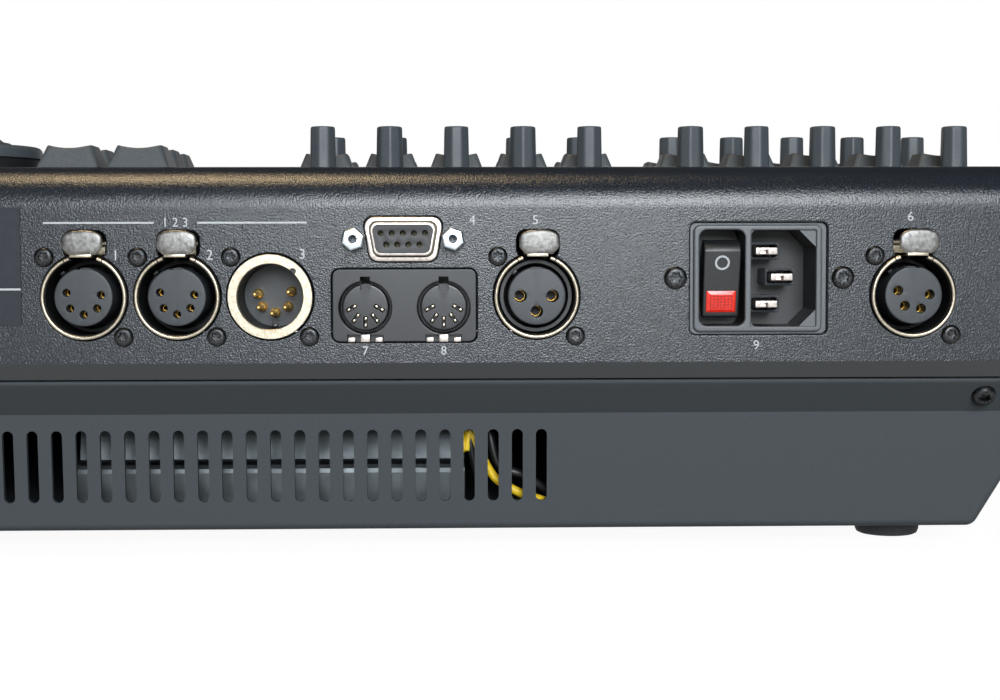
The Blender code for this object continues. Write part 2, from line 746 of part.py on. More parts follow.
def build_din_sockets():
    """Moulded block with two round five-way sockets, each a plug face in a ring-shaped recess."""
    outline = rounded_rectangle(DIN_WIDTH, DIN_HEIGHT, DIN_CORNER)
    body = add("din_sockets", outline_mesh("din_sockets", outline, DIN_BODY_DEPTH), BLACK)
    upright(body, DIN_X, DIN_BODY_DEPTH / 2 + GAP, DIN_Z)
    recesses = []
    cores = []
    holes = []
    for side in (-1, 1):
        x = DIN_X + side * DIN_SPACING / 2
        z = DIN_Z - DIN_DROP
        recesses.append(rear_rod("din_recess", DIN_RADIUS, x, z, -0.001, DIN_RECESS, 28))
        cores.append(rear_rod("din_core", DIN_PLUG_RADIUS, x, z, GAP + 0.0008, DIN_RECESS + 0.001, 20))
        for i in range(5):
            angle = math.radians(180 + 45 * i)
            hx = x + DIN_PLUG_RADIUS * 0.68 * math.cos(angle)
            hz = z + DIN_PLUG_RADIUS * 0.68 * math.sin(angle)
            holes.append(rear_rod("din_hole", 0.0007, hx, hz, -0.001, DIN_RECESS - 0.001, 6))
    bpy.context.view_layer.update()
    cut(body, gather("din_recesses", recesses))
    join(body, gather("din_cores", cores))
    cut(body, gather("din_holes", holes))


def build_mains_inlet():
    """Inlet module: a flange behind the face, a switch pocket and a deep cavity round three blades."""
    face = GAP
    flange_front = CASE_WALL + GAP
    half = INLET_WIDTH / 2
    tall = INLET_HEIGHT / 2
    body = block(
        "mains_inlet",
        (INLET_X - half, REAR - INLET_BODY_DEPTH, INLET_Z - tall),
        (INLET_X + half, REAR - face, INLET_Z + tall),
        BLACK,
    )
    flange = block(
        "inlet_flange",
        (INLET_X - INLET_FLANGE_WIDTH / 2, REAR - flange_front - 0.002, INLET_Z - INLET_FLANGE_HEIGHT / 2),
        (INLET_X + INLET_FLANGE_WIDTH / 2, REAR - flange_front, INLET_Z + INLET_FLANGE_HEIGHT / 2),
    )
    window = INLET_WINDOW_HEIGHT / 2
    pocket = block(
        "switch_pocket",
        (SWITCH_X - SWITCH_WINDOW_WIDTH / 2, REAR - SWITCH_POCKET, INLET_Z - window),
        (SWITCH_X + SWITCH_WINDOW_WIDTH / 2, REAR + 0.001, INLET_Z + window),
    )
    width = CAVITY_WIDTH / 2
    corner = CAVITY_CORNER
    outline = [(-width, window - corner), (-width + corner, window), (width, window)]
    outline += [(x, -z) for x, z in reversed(outline)]
    cavity = add("inlet_cavity", outline_mesh("inlet_cavity", outline, CAVITY_DEPTH + 0.001))
    upright(cavity, CAVITY_X, (CAVITY_DEPTH - 0.001) / 2, INLET_Z)
    collars = []
    blades = []
    for level, shift in ((1, 1), (0, -1), (-1, 1)):
        x = CAVITY_X + shift * BLADE_STEP / 2 + BLADE_SHIFT
        z = INLET_Z + level * BLADE_SPACING
        for made, wide, high, length in (
            (collars, COLLAR_WIDTH, COLLAR_HEIGHT, COLLAR_LENGTH),
            (blades, BLADE_WIDTH, BLADE_THICKNESS, BLADE_LENGTH),
        ):
            low = (x - wide / 2, REAR - CAVITY_DEPTH - 0.001, z - high / 2)
            top = (x + wide / 2, REAR - CAVITY_DEPTH + length, z + high / 2)
            made.append(block("contact", low, top))
    bpy.context.view_layer.update()
    join(body, flange)
    cut(body, pocket, cavity)
    join(body, gather("inlet_collars", collars))
    join(body, gather("inlet_blades", blades))


def build_rocker():
    """Switch rocker on its pivot pin, off at rest: its top edge stands out and its foot is in."""
    half = ROCKER_HEIGHT / 2
    points = [
        (ROCKER_LEAN, ROCKER_EDGE),
        (0, 0.0004 - half),
        (-0.0016, -half),
        (-ROCKER_BACK, -0.002),
        (-ROCKER_BACK, 0.002),
        (-0.001, half - 0.0002),
    ]
    rocker = add("mains_rocker", outline_mesh("mains_rocker", points, ROCKER_WIDTH), BLACK)
    turns = [math.radians(45 * i) for i in range(8)]
    circle = [(ROCKER_PIN_RADIUS * math.cos(a), ROCKER_PIN_RADIUS * math.sin(a)) for a in turns]
    pin = add("rocker_pin", outline_mesh("rocker_pin", circle, SWITCH_WINDOW_WIDTH - 2 * GAP))
    for piece in (rocker, pin):
        piece.data.transform(Matrix(((0, 0, 1, 0), (1, 0, 0, 0), (0, 1, 0, 0), (0, 0, 0, 1))))
        piece.location = (SWITCH_X, REAR - ROCKER_PIVOT_DEPTH, INLET_Z)
    bpy.context.view_layer.update()
    join(rocker, pin)


def build_knobs():
    """Twenty slim encoder knobs, two to a column, each on its own shaft through the panel."""
    h = KNOB_HEIGHT
    profile = [
        (0, h),
        (KNOB_TOP_RADIUS - 0.0005, h),
        (KNOB_TOP_RADIUS, h - 0.0007),
        (KNOB_FOOT_RADIUS, GAP + PANEL_DROP),
        (KNOB_SHAFT_RADIUS, GAP + PANEL_DROP),
        (KNOB_SHAFT_RADIUS, -KNOB_SHAFT_LENGTH),
        (0, -KNOB_SHAFT_LENGTH),
    ]
    for row_name, row in (("rear", REAR_KNOB_ROW), ("front", FRONT_KNOB_ROW)):
        for number, x in enumerate(COLUMN_X, 1):
            knob = turned(f"{row_name}_knob_{number:02d}", profile, KNOB, 12)
            knob.location = (x, REAR - row, PANEL_TOP)


def key_mesh(name):
    """One key: upright in its window, then a truncated pyramid with a dished top, standing on z = 0."""
    shoulder = KEY_WEB / 2 + GAP + PANEL_THICKNESS
    height = shoulder + PANEL_DROP + KEY_RISE
    bm = bmesh.new()
    bmesh.ops.create_cube(bm, size=1.0)
    cuts = [((share, 0, 0), (1, 0, 0)) for share in (-0.25, 0.0, 0.25)]
    for place, direction in [*cuts, ((0, 0, 0), (0, 0, 1))]:
        geometry = bm.verts[:] + bm.edges[:] + bm.faces[:]
        bmesh.ops.bisect_plane(bm, geom=geometry, plane_co=place, plane_no=direction)
    for vertex in bm.verts:
        x, y, z = vertex.co
        if z > 0.25:
            dip = KEY_DISH * (1 - (2 * x) ** 2)
            vertex.co = Vector((x * KEY_TOP_SIZE, y * KEY_TOP_SIZE, height - dip))
        else:
            vertex.co = Vector((x * KEY_SIZE, y * KEY_SIZE, 0 if z < -0.25 else shoulder))
    return mesh_from(name, bm)


def build_key_mat(name, places, bridges):
    """Keys standing on one web under the panel, as in a moulded key mat."""
    web_top = PANEL_UNDER - GAP
    low_z = web_top - KEY_WEB
    mesh = key_mesh(f"{name}_key")
    first = bridges[0]
    mat = block(name, (first[0], first[2], low_z), (first[1], first[3], web_top), RUBBER)
    for x0, x1, y0, y1 in bridges[1:]:
        join(mat, block(f"{name}_bridge", (x0, y0, low_z), (x1, y1, web_top)))
    keys = []
    for x, depth in places:
        key = add("key", mesh.copy())
        key.location = (x, REAR - depth, low_z + KEY_WEB / 2)
        keys.append(key)
    bpy.context.view_layer.update()
    join(mat, gather(f"{name}_keys", keys))


def build_keys():
    """Three rows of ten keys, and the command keys with the keypad."""
    edge = KEY_SIZE / 2
    for name, row in (
        ("rear_key_row", REAR_KEY_ROW),
        ("front_key_row", FRONT_KEY_ROW),
        ("flash_key_row", FLASH_KEY_ROW),
    ):
        y = REAR - row
        bridge = (COLUMN_X[0] - edge - 0.001, COLUMN_X[-1] + edge + 0.001, y - edge * 0.7, y + edge * 0.7)
        build_key_mat(name, [(x, row) for x in COLUMN_X], [bridge])
    near = REAR - COMMAND_FIRST_ROW + edge * 0.8
    far = near - KEY_PITCH * (COMMAND_BLOCK_STEP + COMMAND_BLOCK_ROWS - 1) - edge * 1.6
    pad_far = near - KEY_PITCH * (KEYPAD_ROWS - 1) - edge * 1.6
    pad_right = KEYPAD_X + KEY_PITCH * (KEYPAD_COLUMNS - 1) + edge
    link = REAR - COMMAND_FIRST_ROW - KEY_PITCH * (KEYPAD_ROWS - 1)
    bridges = [
        (COMMAND_COLUMN_X - edge - 0.001, COMMAND_COLUMN_X + KEY_PITCH + edge + 0.001, far, near),
        (KEYPAD_X - edge - 0.001, pad_right, pad_far, near),
        (COMMAND_COLUMN_X, KEYPAD_X, link - edge * 0.5, link + edge * 0.5),
    ]
    build_key_mat("command_keys", command_positions(), bridges)


def build_faders():
    """Ten fader caps on flat stems, all at the operator's end of their travel."""
    for number, x in enumerate(COLUMN_X, 1):
        name = f"fader_cap_{number:02d}"
        bottom = 0.0009
        half = CAP_LENGTH / 2
        top = bottom + CAP_HEIGHT
        waist = top - CAP_WAIST
        points = [(half, bottom), (half, waist), (half * 0.72, top), (0, waist), (-half * 0.72, top)]
        points += [(-half, waist), (-half, bottom)]
        cap = add(name, outline_mesh(name, points, CAP_WIDTH), CAP)
        cap.data.transform(Matrix(((0, 0, 1, 0), (1, 0, 0, 0), (0, 1, 0, 0), (0, 0, 0, 1))))
        cap.location = (x, REAR - FADER_REST, PANEL_TOP)
        stem = block(
            f"{name}_stem",
            (-STEM_THICKNESS / 2, -STEM_LENGTH / 2, -STEM_DEPTH),
            (STEM_THICKNESS / 2, STEM_LENGTH / 2, bottom + 0.002),
        )
        stem.location = cap.location
        join(cap, stem)


def build_fader_bank():
    """The ten fader bodies under the panel, joined by their mounting plate, each with a channel for its stem."""
    edge = FADER_BODY_WIDTH / 2
    near = REAR - FADER_REAR_END + STEM_LENGTH / 2 + 0.002
    far = REAR - FADER_REST - STEM_LENGTH / 2 - 0.002
    low = (COLUMN_X[0] - edge, far, BANK_BOTTOM - BANK_PLATE)
    high = (COLUMN_X[-1] + edge, near, BANK_BOTTOM)
    bank = block("fader_bank", low, high, STEEL)
    bodies = []
    channels = []
    for x in COLUMN_X:
        bodies.append(block("body", (x - edge, far, BANK_BOTTOM - 0.0005), (x + edge, near, BANK_TOP)))
        half = STEM_THICKNESS / 2 + GAP
        floor = PANEL_TOP - STEM_DEPTH - GAP
        channels.append(block("channel", (x - half, far + 0.001, floor), (x + half, near - 0.001, BANK_TOP + 0.001)))
    bpy.context.view_layer.update()
    join(bank, gather("fader_bodies", bodies))
    cut(bank, gather("fader_channels", channels))


def build_encoder():
    """Dual encoder: a broad dial on a hub and a smaller knob on the shaft that runs through it."""
    bottom = GAP + PANEL_DROP
    top = PANEL_DROP + DIAL_RISE
    bore = DIAL_SHAFT_RADIUS + GAP
    ring = turned(
        "encoder_dial",
        [
            (bore, top),
            (DIAL_RADIUS - 0.0025, top),
            (DIAL_RADIUS, top - 0.0015),
            (DIAL_RADIUS, bottom + 0.001),
            (DIAL_RADIUS - 0.001, bottom),
            (DIAL_HUB_RADIUS, bottom),
            (DIAL_HUB_RADIUS, -DIAL_HUB_DEPTH),
            (bore, -DIAL_HUB_DEPTH),
        ],
        KNOB,
        32,
    )
    knob = turned(
        "encoder_knob",
        [
            (0, top + DIAL_KNOB_RISE),
            (DIAL_KNOB_RADIUS - 0.0035, top + DIAL_KNOB_RISE),
            (DIAL_KNOB_RADIUS - 0.0025, top + DIAL_KNOB_RISE - 0.001),
            (DIAL_KNOB_RADIUS, top + GAP + 0.0012),
            (DIAL_KNOB_RADIUS, top + GAP),
            (DIAL_SHAFT_RADIUS, top + GAP),
            (DIAL_SHAFT_RADIUS, -DIAL_HUB_DEPTH - 0.002),
            (0, -DIAL_HUB_DEPTH - 0.002),
        ],
        KNOB,
        24,
    )
    for piece in (ring, knob):
        piece.location = (DIAL_X, REAR - DIAL_ROW, PANEL_TOP)


def build_board():
    """Main circuit board under the faders and keys."""
    low = (-HALF_WIDTH + BOARD_SIDE_MARGIN, FRONT + BOARD_FRONT_MARGIN, BOARD_TOP - BOARD_THICKNESS)
    high = (HALF_WIDTH - BOARD_SIDE_MARGIN, REAR - BOARD_REAR, BOARD_TOP)
    block("main_board", low, high, BOARD)


def build_power_supply():
    """Power supply in a folded metal cover, its rounded upper edge behind the slots."""
    floor = BASE_BOTTOM + BASE_WALL + GAP
    back = REAR - SUPPLY_REAR
    points = [(REAR - SUPPLY_FRONT, floor), (back, floor)]
    points += arc((back - SUPPLY_EDGE, SUPPLY_TOP - SUPPLY_EDGE), SUPPLY_EDGE, 0, 90, 4)
    points.append((back - SUPPLY_LEDGE, SUPPLY_TOP))
    points.append((back - SUPPLY_LEDGE - SUPPLY_SLANT, SUPPLY_TOP + SUPPLY_STEP))
    points.append((REAR - SUPPLY_FRONT, SUPPLY_TOP + SUPPLY_STEP))
    body = add("power_supply", outline_mesh("power_supply", points, SUPPLY_RIGHT - SUPPLY_LEFT), ZINC)
    middle = (SUPPLY_LEFT + SUPPLY_RIGHT) / 2
    body.matrix_world = Matrix(((0, 0, 1, middle), (1, 0, 0, 0), (0, 1, 0, 0), (0, 0, 0, 1)))


def build_earth_wire():
    """Yellow and green earth wire that runs down behind the last slots to the pan's floor."""
    left = SUPPLY_LEFT
    r = WIRE_RADIUS
    rear = REAR - WIRE_DEPTH
    floor = BASE_BOTTOM + BASE_WALL + GAP + r
    step = SUPPLY_TOP + SUPPLY_STEP
    route = [
        (left + 5 * r, rear - 10 * r, step + 2.3 * r),
        (left + 4 * r, rear - 5 * r, step + 2.7 * r),
        (left + 2 * r, rear - r, step - 0.4 * r),
        (left, rear, SUPPLY_TOP + 3 * r),
        (left - 0.9 * r, rear, SUPPLY_TOP - 3.3 * r),
        (left - 2.3 * r, rear, SUPPLY_TOP - 6.6 * r),
        (left - 6.3 * r, rear, floor + 8.6 * r),
        (left - 11.5 * r, rear, floor + 5.2 * r),
        (left - 16.8 * r, rear - r, floor + 3.2 * r),
        (left - 24 * r, rear - 3 * r, floor + 0.8 * r),
        (left - 31 * r, rear - 5 * r, floor),
    ]
    curve = bpy.data.curves.new("earth_wire", "CURVE")
    curve.dimensions = "3D"
    curve.bevel_depth = WIRE_RADIUS
    curve.bevel_resolution = 1
    curve.use_fill_caps = True
    spline = curve.splines.new("POLY")
    points = smooth(route, 2)
    spline.points.add(len(points) - 1)
    for target, point in zip(spline.points, points):
        target.co = (*point, 1)
    curve.materials.append(EARTH)
    PARTS.objects.link(bpy.data.objects.new("earth_wire", curve))


def smooth(route, steps):
    """Points on a smooth curve through the route's own points."""
    places = [Vector(p) for p in route]
    ends = [places[0] * 2 - places[1], *places, places[-1] * 2 - places[-2]]
    points = []
    for a, b, c, d in zip(ends, ends[1:], ends[2:], ends[3:]):
        for i in range(steps):
            t = i / steps
            points.append(
                0.5 * ((2 * b) + (c - a) * t + (2 * a - 5 * b + 4 * c - d) * t**2 + (3 * b - a - 3 * c + d) * t**3)
            )
    return [*points, places[-1]]


clear_scene()
PARTS = collection("fader_wing")
CUTTERS = collection("fader_wing_cutters", hidden=True)
STEEL = material("textured_steel", (0.055, 0.060, 0.070), 0.5, 0.2)
PAN = material("grey_pan", (0.075, 0.080, 0.085), 0.55, 0.1)
PANEL = material("panel_black", (0.020, 0.022, 0.025), 0.5)
RUBBER = material("black_rubber", (0.045, 0.050, 0.058), 0.75)
NICKEL = material("nickel", (0.62, 0.58, 0.50), 0.28, 1.0)
BLACK = material("black_moulding", (0.016, 0.017, 0.019), 0.45)
KNOB = material("knob_plastic", (0.045, 0.050, 0.058), 0.5)
CAP = material("fader_cap_plastic", (0.030, 0.032, 0.036), 0.45)
BOARD = material("circuit_board", (0.02, 0.10, 0.05), 0.45)
ZINC = material("zinc_sheet", (0.30, 0.31, 0.32), 0.4, 0.8)
EARTH = material("earth_insulation", (0.55, 0.55, 0.04), 0.45)

COLUMN_X = column_positions()
SOCKET_Z = SEAM + SOCKET_LEVEL
REMOTE_Z = SEAM + REMOTE_LEVEL
DIN_Z = SEAM + DIN_LEVEL
INLET_Z = SEAM + INLET_LEVEL
SWITCH_X = INLET_X + SWITCH_OFFSET
CAVITY_X = INLET_X - CAVITY_OFFSET
MALE_X = OUT_SOCKET_X - 2 * SOCKET_PITCH
FEMALE_X = {
    "out_socket_1": OUT_SOCKET_X,
    "out_socket_2": OUT_SOCKET_X - SOCKET_PITCH,
    "timecode_socket": TIMECODE_X,
    "lamp_socket": LAMP_X,
}
CONTACTS = {"out_socket_1": 5, "out_socket_2": 5, "timecode_socket": 3, "lamp_socket": 4}

build_upper_case()
build_control_panel()
build_base_housing()
build_feet()
for socket_name, socket_x in FEMALE_X.items():
    build_female_socket(socket_name, socket_x, CONTACTS[socket_name])
    build_lever_posts(socket_name, socket_x)
    build_latch(socket_name.replace("socket", "latch"), socket_x)
build_male_socket("in_socket", MALE_X)
build_remote_socket()
build_din_sockets()
build_mains_inlet()
build_rocker()
build_knobs()
build_keys()
build_faders()
build_fader_bank()
build_encoder()
build_board()
build_power_supply()
build_earth_wire()
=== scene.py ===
import math

import bmesh
import bpy
from mathutils import Matrix, Vector


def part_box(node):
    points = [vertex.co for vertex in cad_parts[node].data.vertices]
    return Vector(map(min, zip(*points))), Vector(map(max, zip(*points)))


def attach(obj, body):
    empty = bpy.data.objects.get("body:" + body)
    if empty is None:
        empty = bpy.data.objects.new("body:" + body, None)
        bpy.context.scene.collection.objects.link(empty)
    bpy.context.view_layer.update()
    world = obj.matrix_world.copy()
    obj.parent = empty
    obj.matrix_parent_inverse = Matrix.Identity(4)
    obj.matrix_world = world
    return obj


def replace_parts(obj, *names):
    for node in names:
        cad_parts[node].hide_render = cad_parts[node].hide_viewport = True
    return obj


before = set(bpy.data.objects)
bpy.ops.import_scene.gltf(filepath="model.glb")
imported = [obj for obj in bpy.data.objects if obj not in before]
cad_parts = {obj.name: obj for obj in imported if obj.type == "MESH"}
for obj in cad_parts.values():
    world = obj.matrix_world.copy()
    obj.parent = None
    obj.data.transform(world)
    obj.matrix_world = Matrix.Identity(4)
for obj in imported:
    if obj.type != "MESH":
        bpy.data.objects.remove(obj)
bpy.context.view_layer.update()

# Upper case: one shell of 2 mm sheet steel, folded over a broad radius along its long top edges and welded
# at the ends. A powder coat was baked on, and its grain, here drawn a little coarser than it is, catches the
# light. The turned-in lip at the foot of the walls was masked and shows smooth paint.


def box_of(node):
    """The lower and the upper corner of a CAD node's box, in millimetres."""
    return [[1000 * v for v in corner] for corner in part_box(node)]


def middle_of(node):
    """The middle of a CAD node's box, in millimetres."""
    return [(a + b) / 2 for a, b in zip(*box_of(node))]


case_low, case_high = box_of("upper_case")
HALF_WIDTH, REAR, CASE_TOP = case_high
FRONT = case_low[1]
SEAM = case_low[2]
CASE_WALL = 2.0
EDGE_RADIUS = 11.0
LIP_HEIGHT = 4.3
LIP_INSET = 3.5
PANEL_RIM_SIDE = 8.5
PANEL_RIM_REAR = 13.5
BAND_HEIGHT = 9.4
BAND_INSET = 8.5
SOCKET_Z = 66.1
OUT_X = {"out_socket_1": 27.3, "out_socket_2": 4.0}
TIMECODE_X = -86.4
LAMP_X = -182.1
FEMALE_X = {**OUT_X, "timecode_socket": TIMECODE_X, "lamp_socket": LAMP_X}
MALE_X = -19.3
REMOTE = (-52.8, 80.5)
DIN = (-53.0, 63.8)
INLET = (-142.8, 70.4)
ALONG_X = Matrix(((0, 0, 1, 0), (1, 0, 0, 0), (0, 1, 0, 0), (0, 0, 0, 1)))
CLOUD_SIZE = 30.0


def linear(code):
    """Linear RGBA for an sRGB hex colour."""
    shares = [int(code[i:i + 2], 16) / 255 for i in (1, 3, 5)]
    return [s / 12.92 if s <= 0.04045 else ((s + 0.055) / 1.055) ** 2.4 for s in shares] + [1.0]


def add_node(tree, kind, links=None, stops=None, **settings):
    """A node with its settings: its sockets take values or links, and a ramp takes its stops."""
    node = tree.nodes.new("ShaderNode" + kind)
    for name, value in settings.items():
        setattr(node, name, value)
    for socket, value in (links or {}).items():
        if isinstance(value, bpy.types.NodeSocket):
            tree.links.new(value, node.inputs[socket])
        else:
            node.inputs[socket].default_value = value
    if stops:
        points = node.color_ramp.elements
        while len(points) < len(stops):
            points.new(0.5)
        for point, (place, colour) in zip(points, stops):
            point.position = place
            point.color = linear(colour) if isinstance(colour, str) else [colour] * 3 + [1.0]
    return node


def new_finish(name, colour, roughness, metallic=0.0, **sockets):
    """A material whose constants sit on its shader's own sockets."""
    made = bpy.data.materials.new(name)
    made.use_nodes = True
    shader = made.node_tree.nodes["Principled BSDF"]
    shader.inputs["Base Color"].default_value = linear(colour)
    shader.inputs["Roughness"].default_value = roughness
    shader.inputs["Metallic"].default_value = metallic
    for socket, value in sockets.items():
        shader.inputs[socket.replace("_", " ")].default_value = value
    return made


def grained(made, size, height, colours=None, roughness=None, detail=2.0, stretch=(1, 1, 1)):
    """Gives a finish grain of a size and height in millimetres, and mottles its colour and gloss."""
    tree = made.node_tree
    shader = tree.nodes["Principled BSDF"]
    place = add_node(tree, "TexCoord").outputs["Object"]
    place = add_node(tree, "Mapping", {"Vector": place, "Scale": stretch}).outputs["Vector"]
    grain = add_node(tree, "TexNoise", {"Vector": place, "Scale": 1000 / size, "Detail": detail})
    bump = add_node(tree, "Bump", {"Height": grain.outputs["Fac"], "Distance": height / 1000})
    tree.links.new(bump.outputs["Normal"], shader.inputs["Normal"])
    if colours:
        stops = [(0.32, colours[0]), (0.68, colours[1])]
        tone = add_node(tree, "ValToRGB", {"Fac": grain.outputs["Fac"]}, stops)
        tree.links.new(tone.outputs["Color"], shader.inputs["Base Color"])
    if roughness:
        cloud = add_node(tree, "TexNoise", {"Vector": place, "Scale": 1000 / CLOUD_SIZE, "Detail": 4.0})
        spread = {"From Min": 0.3, "From Max": 0.7, "To Min": roughness[0], "To Max": roughness[1]}
        gloss = add_node(tree, "MapRange", {"Value": cloud.outputs["Fac"], **spread})
        tree.links.new(gloss.outputs["Result"], shader.inputs["Roughness"])
    return made


def arc(centre, radius, start, end, steps):
    """Points round part of a circle, from one angle to another in degrees."""
    turns = [math.radians(start + (end - start) * i / steps) for i in range(steps + 1)]
    return [(centre[0] + radius * math.cos(a), centre[1] + radius * math.sin(a)) for a in turns]


def circle(radius, steps):
    """The outline of a circle."""
    return arc((0, 0), radius, 0, 360, steps)[:-1]


def rounded(width, height, radius, steps=6):
    """The outline of a rectangle with round corners."""
    x = width / 2 - radius
    y = height / 2 - radius
    corners = ((x, y, 0), (-x, y, 90), (-x, -y, 180), (x, -y, 270))
    return [p for cx, cy, turn in corners for p in arc((cx, cy), radius, turn, turn + 90, steps)]


def shifted(outline, x, y):
    """An outline moved across its own plane."""
    return [(a + x, b + y) for a, b in outline]


def skin(rings, loop=False):
    """A closed form through rings of points, each of one count or a single point."""
    form = bmesh.new()
    made = [[form.verts.new(point) for point in ring] for ring in rings]
    for lower, upper in [*zip(made, made[1:]), *([(made[-1], made[0])] if loop else [])]:
        below, above = len(lower), len(upper)
        for i in range(max(below, above)):
            j = i + 1
            corners = (lower[i % below], lower[j % below], upper[j % above], upper[i % above])
            form.faces.new(list(dict.fromkeys(corners)))
    if not loop:
        for ring in (made[0], made[-1]):
            if len(ring) > 2:
                form.faces.new(ring)
    bmesh.ops.recalc_face_normals(form, faces=form.faces)
    return form


def prism(outline, low, high):
    """An outline carried from one level to another."""
    return skin([[(x, y, level) for x, y in outline] for level in (low, high)])


def tiered(outline_for, tiers):
    """A form whose outline changes from tier to tier: each tier is (growth, level)."""
    return skin([[(x, y, level) for x, y in outline_for(growth)] for growth, level in tiers])


def turned(profile, segments=48, loop=False):
    """A form turned about its own axis, from (radius, height) points."""
    rings = []
    for radius, height in profile:
        points = circle(radius, segments) if radius else [(0, 0)]
        rings.append([(x, y, height) for x, y in points])
    return skin(rings, loop)


def spot(x, y, z=0.0):
    """A move to a place."""
    return Matrix.Translation((x, y, z))


def polar(radius, degrees, z=0.0):
    """A move to a place given by its distance and its direction."""
    angle = math.radians(degrees)
    return spot(radius * math.cos(angle), radius * math.sin(angle), z)


def moved(form, place):
    """A form carried to its place."""
    form.transform(place)
    form.normal_update()
    return form


def gathered(forms):
    """Several forms as one, side by side."""
    whole = bmesh.new()
    for form in forms:
        mesh = bpy.data.meshes.new("form")
        form.to_mesh(mesh)
        form.free()
        whole.from_mesh(mesh)
        bpy.data.meshes.remove(mesh)
    return whole


def carved(form, *tools):
    """The form less each of the tools."""
    holders = []
    for shape in (form, *tools):
        mesh = bpy.data.meshes.new("form")
        shape.to_mesh(mesh)
        shape.free()
        holders.append(bpy.data.objects.new("form", mesh))
        bpy.context.scene.collection.objects.link(holders[-1])
    for tool in holders[1:]:
        cutter = holders[0].modifiers.new("cut", "BOOLEAN")
        cutter.object = tool
        cutter.operation = "DIFFERENCE"
        cutter.solver = "EXACT"
    left = holders[0].evaluated_get(bpy.context.evaluated_depsgraph_get())
    result = bmesh.new()
    result.from_mesh(left.to_mesh())
    left.to_mesh_clear()
    for holder in holders:
        mesh = holder.data
        bpy.data.objects.remove(holder)
        bpy.data.meshes.remove(mesh)
    return result


def softened(form, width, angle=40, segments=2, where=None):
    """Rounds the edges that turn by more than an angle, or those of them that a test picks."""
    least = math.radians(angle)
    edges = [e for e in form.edges if e.is_manifold and e.calc_face_angle() > least]
    edges = [e for e in edges if not where or where(e)]
    bmesh.ops.bevel(
        form, geom=edges, offset=width, segments=segments, profile=0.5, affect="EDGES", clamp_overlap=True
    )
    return form


def higher_than(level):
    """A test that picks the edges above a level."""
    return lambda edge: min(v.co.z for v in edge.verts) > level


def two_toned(form, picks):
    """Gives the second finish to the faces that a test of their middle and direction picks."""
    for face in form.faces:
        face.material_index = int(picks(face.calc_center_median(), face.normal))
    return form


def add_piece(name, form, finishes, body="case", place=Matrix(), crease=35, level=False):
    """Turns a form in millimetres into a piece that rides on a body."""
    form.transform(Matrix.Scale(0.001, 4) @ place)
    mesh = bpy.data.meshes.new(name)
    form.to_mesh(mesh)
    form.free()
    for finish in finishes if isinstance(finishes, (list, tuple)) else [finishes]:
        mesh.materials.append(finish)
    mesh.shade_smooth()
    mesh.set_sharp_from_angle(angle=math.radians(crease))
    piece = bpy.data.objects.new(name, mesh)
    bpy.context.scene.collection.objects.link(piece)
    if level:
        piece.modifiers.new("flat_faces", "WEIGHTED_NORMAL").keep_sharp = True
    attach(piece, body)
    return piece


def on_rear(x, z, out=0.0, turn=0.0):
    """Right, up and out of the rear wall, as seen from behind, in the object's own directions."""
    axes = Matrix(((-1, 0, 0, x), (0, 0, 1, REAR + out), (0, 1, 0, z), (0, 0, 0, 1)))
    return axes @ Matrix.Rotation(math.radians(turn), 4, "Z")


def mouth(outline_for, lip, back=-5.0):
    """A cutter for a hole whose edge rolls inwards by the lip."""
    turns = [math.radians(90 * i / 4) for i in range(5)]
    tiers = [(lip, 3.0), *((lip * (1 - math.sin(a)), -lip * (1 - math.cos(a))) for a in turns), (0, back)]
    return tiered(outline_for, tiers)


def round_mouth(radius, steps, lip, back=-5.0):
    """A cutter for a round hole with a rolled edge."""
    return mouth(lambda g: circle(radius + g, steps), lip, back)


def slot_mouth(width, height, radius, lip, back=-5.0):
    """A cutter for an opening with round corners and a rolled edge."""
    return mouth(lambda g: rounded(width + 2 * g, height + 2 * g, radius + g), lip, back)


def tapered(width, height):
    """The outline of a D socket, wide at the top."""
    taper = math.radians(10)
    radius = height * 0.22
    top = width / 2 - radius
    bottom = top - (height - 2 * radius) * math.tan(taper)
    y = height / 2 - radius
    points = arc((top, y), radius, -10, 90, 8) + arc((-top, y), radius, 90, 190, 8)
    return points + arc((-bottom, -y), radius, 190, 270, 6) + arc((bottom, -y), radius, 270, 350, 6)


def case_outline(wall):
    """The case's section across its depth, as (y, z), drawn in by the wall for its inside."""
    radius = EDGE_RADIUS - wall
    side = REAR - wall
    points = [(side - LIP_INSET, SEAM - (1 if wall else 0)), (side, SEAM + LIP_HEIGHT)]
    points += arc((side - radius, CASE_TOP - wall - radius), radius, 0, 90, 20)
    return points + [(REAR + FRONT - y, z) for y, z in reversed(points)]


powder_coat = grained(
    new_finish("textured_powder_coat", "#191e25", 0.22), 0.42, 0.11, ("#151a20", "#1f252d"), (0.2, 0.25), 1.5
)
smooth_paint = grained(new_finish("smooth_grey_paint", "#2f3235", 0.5), 0.4, 0.004, ("#2d3032", "#323537"))

